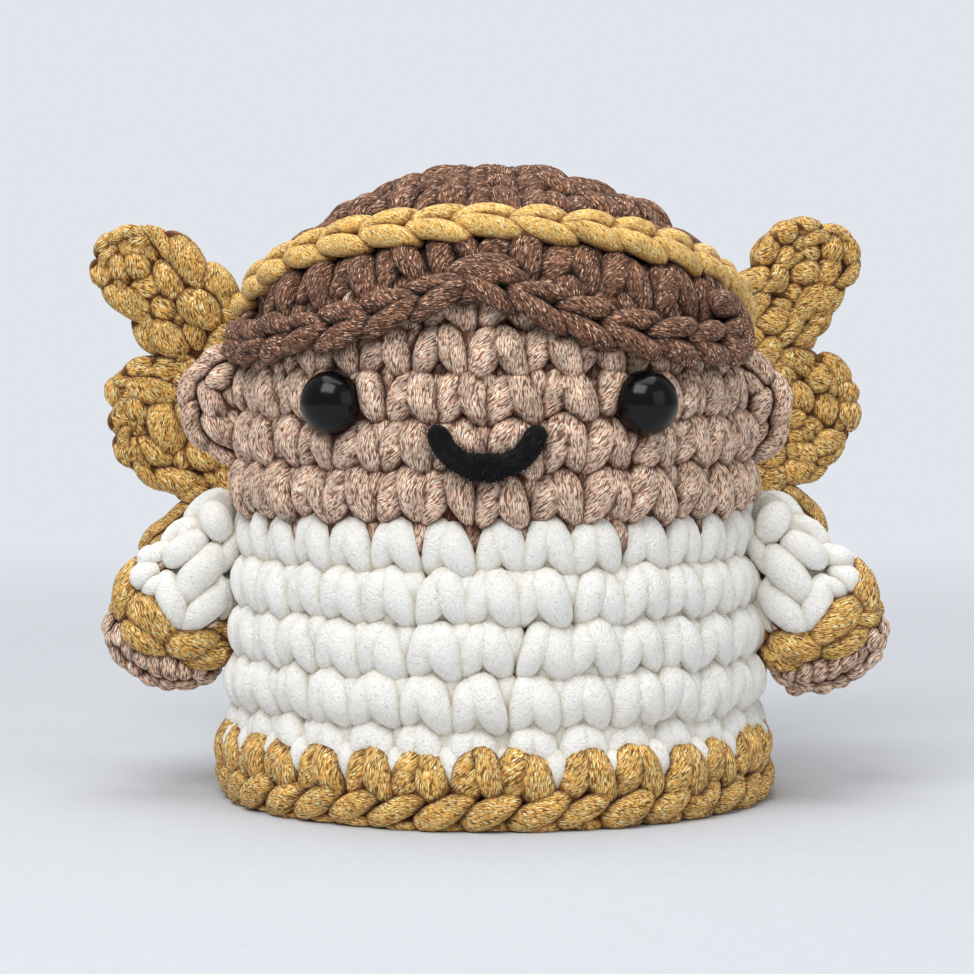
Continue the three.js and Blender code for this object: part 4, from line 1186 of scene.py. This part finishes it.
def lobe_rows(piece, side, lobe, facing, depth):
    """Rows of short stitches over the part of a lobe that lies behind the doll, from its root outwards, and
    then wherever no listed stitch covers it."""
    line, half = lobe_line(lobe, 60)
    reach = travel(line)
    for number in range(int(reach[-1] / FILLER["rows"])):
        spot = (number + 0.35) * FILLER["rows"]
        middle, later = (np.array([np.interp(s, reach, line[:, 0]), np.interp(s, reach, line[:, 1])])
                         for s in (spot, spot + 1))
        ahead = unit(later - middle)
        across = np.array([-ahead[1], ahead[0]])
        room = np.interp(spot, reach, half) - 1.7
        for offset in np.linspace(-room, room, max(2, round(2 * room / FILLER["beside"]) + 1)):
            way = ahead + across * piece.random.normal(0.1, 0.12)
            start = middle + across * (offset + piece.random.normal(0, 0.15)) - way * FILLER["back"]
            lift = piece.random.normal(0, 0.2)
            if middle[0] > LEAVES_FROM[side][lobe]:
                if is_covered(side, lobe, start + way * FILLER["middle"]):
                    continue
                lift = -FILLER["sink"]
            close = np.interp(middle[0], *ROOT_LEAVES)
            wing_leaf(piece, side, start, start + way * FILLER["long"], FILLER["half"] * close,
                      depth + facing * (lift + close - 1), facing)


# The stitches of each lobe, as (out, height, out, height, half width) from end to end, and how far out they
# begin. Closer in, the doll hides them and rows fill the lobe
WING_LEAVES = {
    "right": {
        "upper": [
            (51.1, 80.3, 44.3, 77.7, 1.6), (42.3, 80.3, 37.5, 73.6, 1.8), (36.9, 75.9, 33.1, 71.6, 1.65),
            (32.7, 71.2, 29.9, 68.1, 1.65), (54.0, 78.7, 52.0, 81.0, 1.3), (54.3, 76.5, 52.6, 74.0, 1.55),
            (52.4, 72.8, 46.3, 68.9, 1.65), (47.9, 67.3, 44.0, 63.3, 1.5), (45.1, 66.7, 40.7, 63.4, 1.8),
            (51.9, 78.3, 49.7, 74.6, 1.4), (48.9, 77.9, 46.5, 75.1, 1.6), (48.6, 72.4, 43.9, 74.2, 1.55),
            (44.2, 76.5, 41.1, 71.8, 1.75), (45.5, 70.4, 41.9, 69.5, 1.65), (40.3, 71.6, 35.5, 68.3, 2.0),
            (39.5, 67.7, 37.9, 64.1, 1.35), (42.1, 66.9, 39.5, 69.2, 1.15), (35.9, 65.7, 31.5, 66.9, 1.35),
            (37.1, 63.4, 33.1, 64.5, 1.5), (48.7, 79.0, 46.7, 81.6, 1.5), (34.7, 68.5, 31.5, 69.7, 1.15),
        ],
        "lower": [
            (45.2, 59.4, 41.0, 61.3, 1.65), (51.5, 56.2, 49.6, 59.4, 1.4), (49.6, 59.6, 45.2, 61.3, 1.3),
            (52.0, 57.8, 51.0, 54.8, 1.35), (52.0, 51.8, 48.2, 52.9, 1.65), (50.9, 48.7, 48.8, 45.5, 1.35),
            (49.0, 57.6, 41.8, 56.2, 1.6), (49.6, 55.6, 46.4, 51.9, 1.5), (44.6, 54.7, 42.2, 47.9, 2.15),
            (41.5, 55.3, 39.9, 49.9, 1.45), (50.3, 49.7, 45.7, 44.2, 1.45), (47.9, 48.5, 41.8, 45.8, 1.65),
            (44.9, 43.4, 38.0, 41.7, 1.65), (41.3, 41.0, 36.4, 41.0, 1.3), (39.1, 47.8, 34.7, 45.5, 1.8),
            (35.6, 45.4, 33.2, 40.6, 1.8), (41.1, 47.9, 40.0, 44.4, 1.3), (40.3, 62.0, 39.6, 59.6, 1.2),
            (42.8, 58.4, 38.4, 59.4, 1.3), (50.6, 53.4, 46.6, 50.2, 1.4),
        ],
    },
    "left": {
        "upper": [
            (53.0, 77.0, 50.8, 81.3, 1.45), (51.3, 81.8, 50.4, 80.2, 1.2), (35.7, 77.0, 38.2, 81.0, 1.35),
            (38.2, 81.2, 42.1, 82.8, 1.25), (42.1, 82.9, 46.6, 82.8, 1.2), (38.4, 72.8, 39.1, 76.7, 1.35),
            (38.8, 76.5, 41.2, 79.6, 1.3), (41.2, 79.6, 45.7, 81.0, 1.15), (41.9, 78.2, 46.2, 79.0, 1.2),
            (41.5, 75.4, 45.9, 76.2, 1.65), (39.7, 72.0, 44.2, 72.9, 1.45), (37.6, 70.2, 41.5, 69.9, 1.15),
            (31.3, 72.6, 36.5, 75.4, 1.5), (33.0, 67.8, 36.2, 73.2, 1.5), (28.6, 69.9, 31.9, 71.1, 1.3),
            (30.0, 68.0, 31.6, 69.8, 1.1), (34.7, 67.4, 40.6, 68.3, 1.8), (31.6, 65.8, 36.5, 64.6, 1.6),
            (31.2, 63.4, 35.1, 62.4, 1.15), (44.3, 69.8, 49.0, 72.4, 1.5), (43.6, 74.0, 46.2, 74.8, 1.0),
            (48.6, 81.6, 48.6, 77.4, 1.6), (49.2, 78.2, 46.2, 72.8, 1.7), (46.7, 74.0, 42.2, 68.4, 1.7),
            (42.8, 69.4, 38.0, 63.8, 1.65), (38.4, 64.6, 34.6, 61.0, 1.5),
        ],
        "lower": [
            (37.6, 62.0, 45.8, 61.3, 1.6), (47.7, 61.4, 51.8, 57.8, 1.6), (52.0, 57.3, 52.2, 54.5, 1.45),
            (51.5, 54.1, 52.6, 50.6, 1.6), (44.2, 57.8, 48.6, 58.8, 1.6), (36.6, 59.7, 42.1, 58.8, 1.35),
            (40.6, 56.9, 45.0, 54.1, 1.6), (46.3, 56.2, 49.2, 51.4, 1.75), (41.0, 51.5, 43.3, 52.9, 1.35),
            (40.8, 49.4, 47.3, 50.8, 1.75), (44.6, 47.0, 51.2, 49.0, 1.65), (40.4, 46.6, 46.4, 46.2, 1.45),
            (38.0, 42.9, 45.4, 44.0, 1.6), (35.3, 43.3, 39.8, 46.8, 1.65), (33.8, 42.3, 34.8, 39.9, 1.35),
            (38.2, 56.9, 39.9, 54.1, 1.3), (50.3, 58.0, 51.3, 55.5, 1.2), (37.0, 53.2, 41.0, 51.0, 1.4),
        ],
    },
}
LEAVES_FROM = {"right": {"upper": 32.5, "lower": 35.5}, "left": {"upper": 31.5, "lower": 36.5}}
TAIL = {"right": [(27.5, 41.4), (33.2, 40.2), (38.0, 38.7), (41.9, 36.0), (45.0, 33.7), (46.7, 31.2)],
        "left": [(27.5, 41.4), (33.2, 41.2), (38.0, 40.8), (41.5, 39.2), (45.2, 36.1), (47.2, 33.2)]}
# Half the way between a tail's two runs, root to fold, how far each lies out or in, how far they run past the
# track's end, and their half width, half thickness and round ends
TAIL_RUN = {"apart": [1.1, 1, 0.6], "deeper": 0.35, "past": 0.8, "size": (1.22, 1.3), "round": 1.4}


def make_tail(side):
    """A cord that runs out, folds, and runs back beside itself."""
    piece = Piece(f"wing_{side}_tail_yarn", 70 + (side == "left"), [GOLD])
    track = wing_track(side, smooth([(x, z, 0) for x, z in TAIL[side]], 40)[:, :2], 2.0)
    reach = track.length + TAIL_RUN["past"]
    s = np.linspace(0, reach, 40)
    ends = rounded(np.minimum(s, s[-1] - s) / TAIL_RUN["round"], 0.05)[None]
    wide, thick = TAIL_RUN["size"]
    for lift in (1, -1):
        wave = lift * np.interp(s, [0, track.length * 0.85, reach], TAIL_RUN["apart"])
        points, normals = track.place(s, wave + 0.15 * np.sin(s * 0.8),
                                      lift * TAIL_RUN["deeper"] + 0.3 * np.sin(s))
        # The tail's rise takes it past the depth-painted shade, so only painted crease shade darkens it
        piece.tube(points[None], normals[None], wide * ends, thick * ends, sides=CORD_SIDES, rise=SHADE_SPAN)
    piece.build("wing_" + side, [f"wing_{side}_tail"])


def make_wing(side):
    for number, lobe in enumerate(("upper", "lower")):
        piece = Piece(f"wing_{side}_{lobe}_yarn", 50 + number + 10 * (side == "left"), [GOLD])
        lobe_plate(piece, side, lobe)
        rim_chain(piece, side, lobe)
        leaves = WING_LEAVES[side][lobe]
        for facing, depth in FACES:
            lobe_rows(piece, side, lobe, facing, depth)
            lifts = piece.random.normal(0, 0.28, len(leaves))
            for (*ends, half), lift in zip(leaves, lifts):
                wing_leaf(piece, side, ends[:2], ends[2:], half * LEAF_WIDTH, depth + facing * lift, facing)
        piece.build("wing_" + side, [f"wing_{side}_{lobe}"])
    make_tail(side)


# Inside and underneath. The base's rounds are (radius, stitches), seen from below
BASE_ROWS = [(32.0, 28), (25.6, 24), (19.2, 18), (12.8, 12), (6.4, 6)]
BASE_HEIGHT = 2.15


def make_base():
    piece = Piece("base_rounds", 80, [GOLD])
    flat = around(turns(96))
    for radius, count in BASE_ROWS:
        track = Track(flat * radius + [0, 0, BASE_HEIGHT], flat * 1e-3 - [0, 0, 1], closed=True)
        starts, pitch = spaced(track, count)
        for leg, wide in ((RIGHT_LEG, 2.2), (LEFT_LEG, 1.7)):
            rows = [(u, v, w * 0.5, a, b) for u, v, w, a, b in leg]
            piece.strands(track, starts, rows, pitch, 7.0, (wide, 1.5))
    piece.shell([(0, 1.6), (34.5, 1.6), (34.6, 3.6), (0, 3.6)])
    piece.build("torso", ["base_disc"])


def make_filling():
    """The filling, lumpy on its surface, inside the room that its solid holds."""
    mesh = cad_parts["stuffing"].data.copy()
    mesh.name = "filling"
    points = np.array([v.co for v in mesh.vertices]) / MM
    x, y, z = points.T
    lumps = 0.35 + 0.3 * np.sin(x * 0.9) * np.sin(y * 0.8 + 1) * np.cos(z * 0.7)
    inward = unit(points * [1, 1, 0] + 1e-6) * lumps[:, None]
    mesh.vertices.foreach_set("co", ((points - inward) * MM).astype(np.float32).ravel())
    mesh.materials.clear()
    mesh.materials.append(noise_material(
        "fibre_filling", 700.0, 6.0, [(0.3, (0.88, 0.87, 0.85)), (0.7, (0.97, 0.96, 0.94))], 1.0,
        (0.8, 0.4)).material)
    mesh.shade_smooth()
    place_piece("filling", mesh, "torso", ["stuffing"])


make_gown()
make_head()
make_hem()
make_hair()
make_headband()
make_smile()
make_base()
make_filling()
EYE_PLASTIC = eye_material()
WASHER_PLASTIC = noise_material(
    "washer_plastic", 1500.0, 3.0, [(0.3, (0.88, 0.87, 0.84)), (0.7, (0.93, 0.92, 0.9))],
    [(0.3, 0.45), (0.7, 0.6)], (0.3, 0.05)).material
for side in ("left", "right"):
    make_fringe(side)
    make_ear(side)
    make_eye(side, EYE_PLASTIC)
    make_arm(side)
    make_wing(side)
    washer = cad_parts["eye_washer_" + side]
    washer.data.materials.clear()
    washer.data.materials.append(WASHER_PLASTIC)


# The floor, the backdrop and the lights. The floor's rings are in millimetres, and between two distances in
# metres it fades to the backdrop's colour
PAPER = (0.885, 0.90, 0.925)
FLOOR = {"rings": (6000, 1200, 180), "facets": 96, "shades": (0.87, 0.885), "fade": (0.12, 0.5)}
WORLD = {"color": (0.97, 0.98, 1.0, 1), "strength": 0.35}
# Each lamp's size and place in metres, and its power. All aim at the doll's middle
LAMPS = {"key": ((0.6, 0.45), (-0.22, -0.5, 0.72), 5.0), "fill": ((0.7, 0.7), (0.75, -0.6, 0.35), 1.4),
         "top": ((0.8, 0.8), (0, 0.1, 0.9), 5.0)}
AIM = (0, 0, 0.05)


def floor_mesh():
    """Three rings of points and a middle one."""
    facets, angle = FLOOR["facets"], turns(FLOOR["facets"])
    rings = [around(angle, r, -r) for r in FLOOR["rings"]]
    cells = [(i * facets + j, i * facets + (j + 1) % facets) for i in range(3) for j in range(facets)]
    faces = [(a, b, b + facets, a + facets) for a, b in cells if a < 2 * facets]
    faces += [(a, b, 3 * facets) for a, b in cells if a >= 2 * facets]
    mesh = bpy.data.meshes.new("floor")
    points = np.vstack(rings + [np.zeros((1, 3))]) * MM
    mesh.from_pydata(points.tolist(), [], [face[::-1] for face in faces])
    return mesh


def make_stage():
    """A round pale floor that runs on into the pale background. Away from the doll it shows its own colour
    without the lamps' light, so that no edge shows in any direction."""
    shades = [[c * shade for c in PAPER] for shade in FLOOR["shades"]]
    n = noise_material("floor_paper", 400.0, 3.0, list(zip((0.3, 0.7), shades)), 0.9)
    far = n.add("ShaderNodeVectorMath", {0: n.coordinates()}, operation="LENGTH").outputs["Value"]
    share = n.ramp(far, [(at, grey(value)) for value, at in enumerate(FLOOR["fade"])], kind="EASE")
    seen = n.add("ShaderNodeLightPath").outputs["Is Camera Ray"]
    glow = n.add("ShaderNodeEmission", {"Color": linear(PAPER)})
    blend = n.add("ShaderNodeMixShader", {0: n.math("MULTIPLY", share, seen), 1: n.shader.outputs[0],
                                          2: glow.outputs[0]})
    n.tree.links.new(blend.outputs[0], n.tree.nodes["Material Output"].inputs["Surface"])
    mesh = floor_mesh()
    mesh.materials.append(n.material)
    add_object("floor", mesh)


def make_lamps():
    for name, (size, place, power) in LAMPS.items():
        data = bpy.data.lights.new(name, "AREA")
        data.shape = "RECTANGLE"
        data.size, data.size_y = size
        data.energy = power
        light = add_object(name, data)
        light.location = place
        light.rotation_euler = (Vector(AIM) - Vector(place)).to_track_quat("-Z", "Y").to_euler()


def make_world():
    """Soft light from all round, and the backdrop's colour where the camera sees it."""
    world = bpy.data.worlds.new("studio")
    world.use_nodes = True
    tree = world.node_tree
    lit = tree.nodes["Background"]
    lit.inputs["Color"].default_value = WORLD["color"]
    lit.inputs["Strength"].default_value = WORLD["strength"]
    seen = tree.nodes.new("ShaderNodeBackground")
    seen.inputs["Color"].default_value = linear(PAPER)
    paths, blend = tree.nodes.new("ShaderNodeLightPath"), tree.nodes.new("ShaderNodeMixShader")
    ends = (paths.outputs["Is Camera Ray"], lit.outputs[0], seen.outputs[0])
    for socket, end in zip(blend.inputs, ends):
        tree.links.new(end, socket)
    tree.links.new(blend.outputs[0], tree.nodes["World Output"].inputs["Surface"])
    bpy.context.scene.world = world
    bpy.context.scene.view_settings.view_transform = "Standard"


shade_creases()
make_stage()
make_lamps()
make_world()
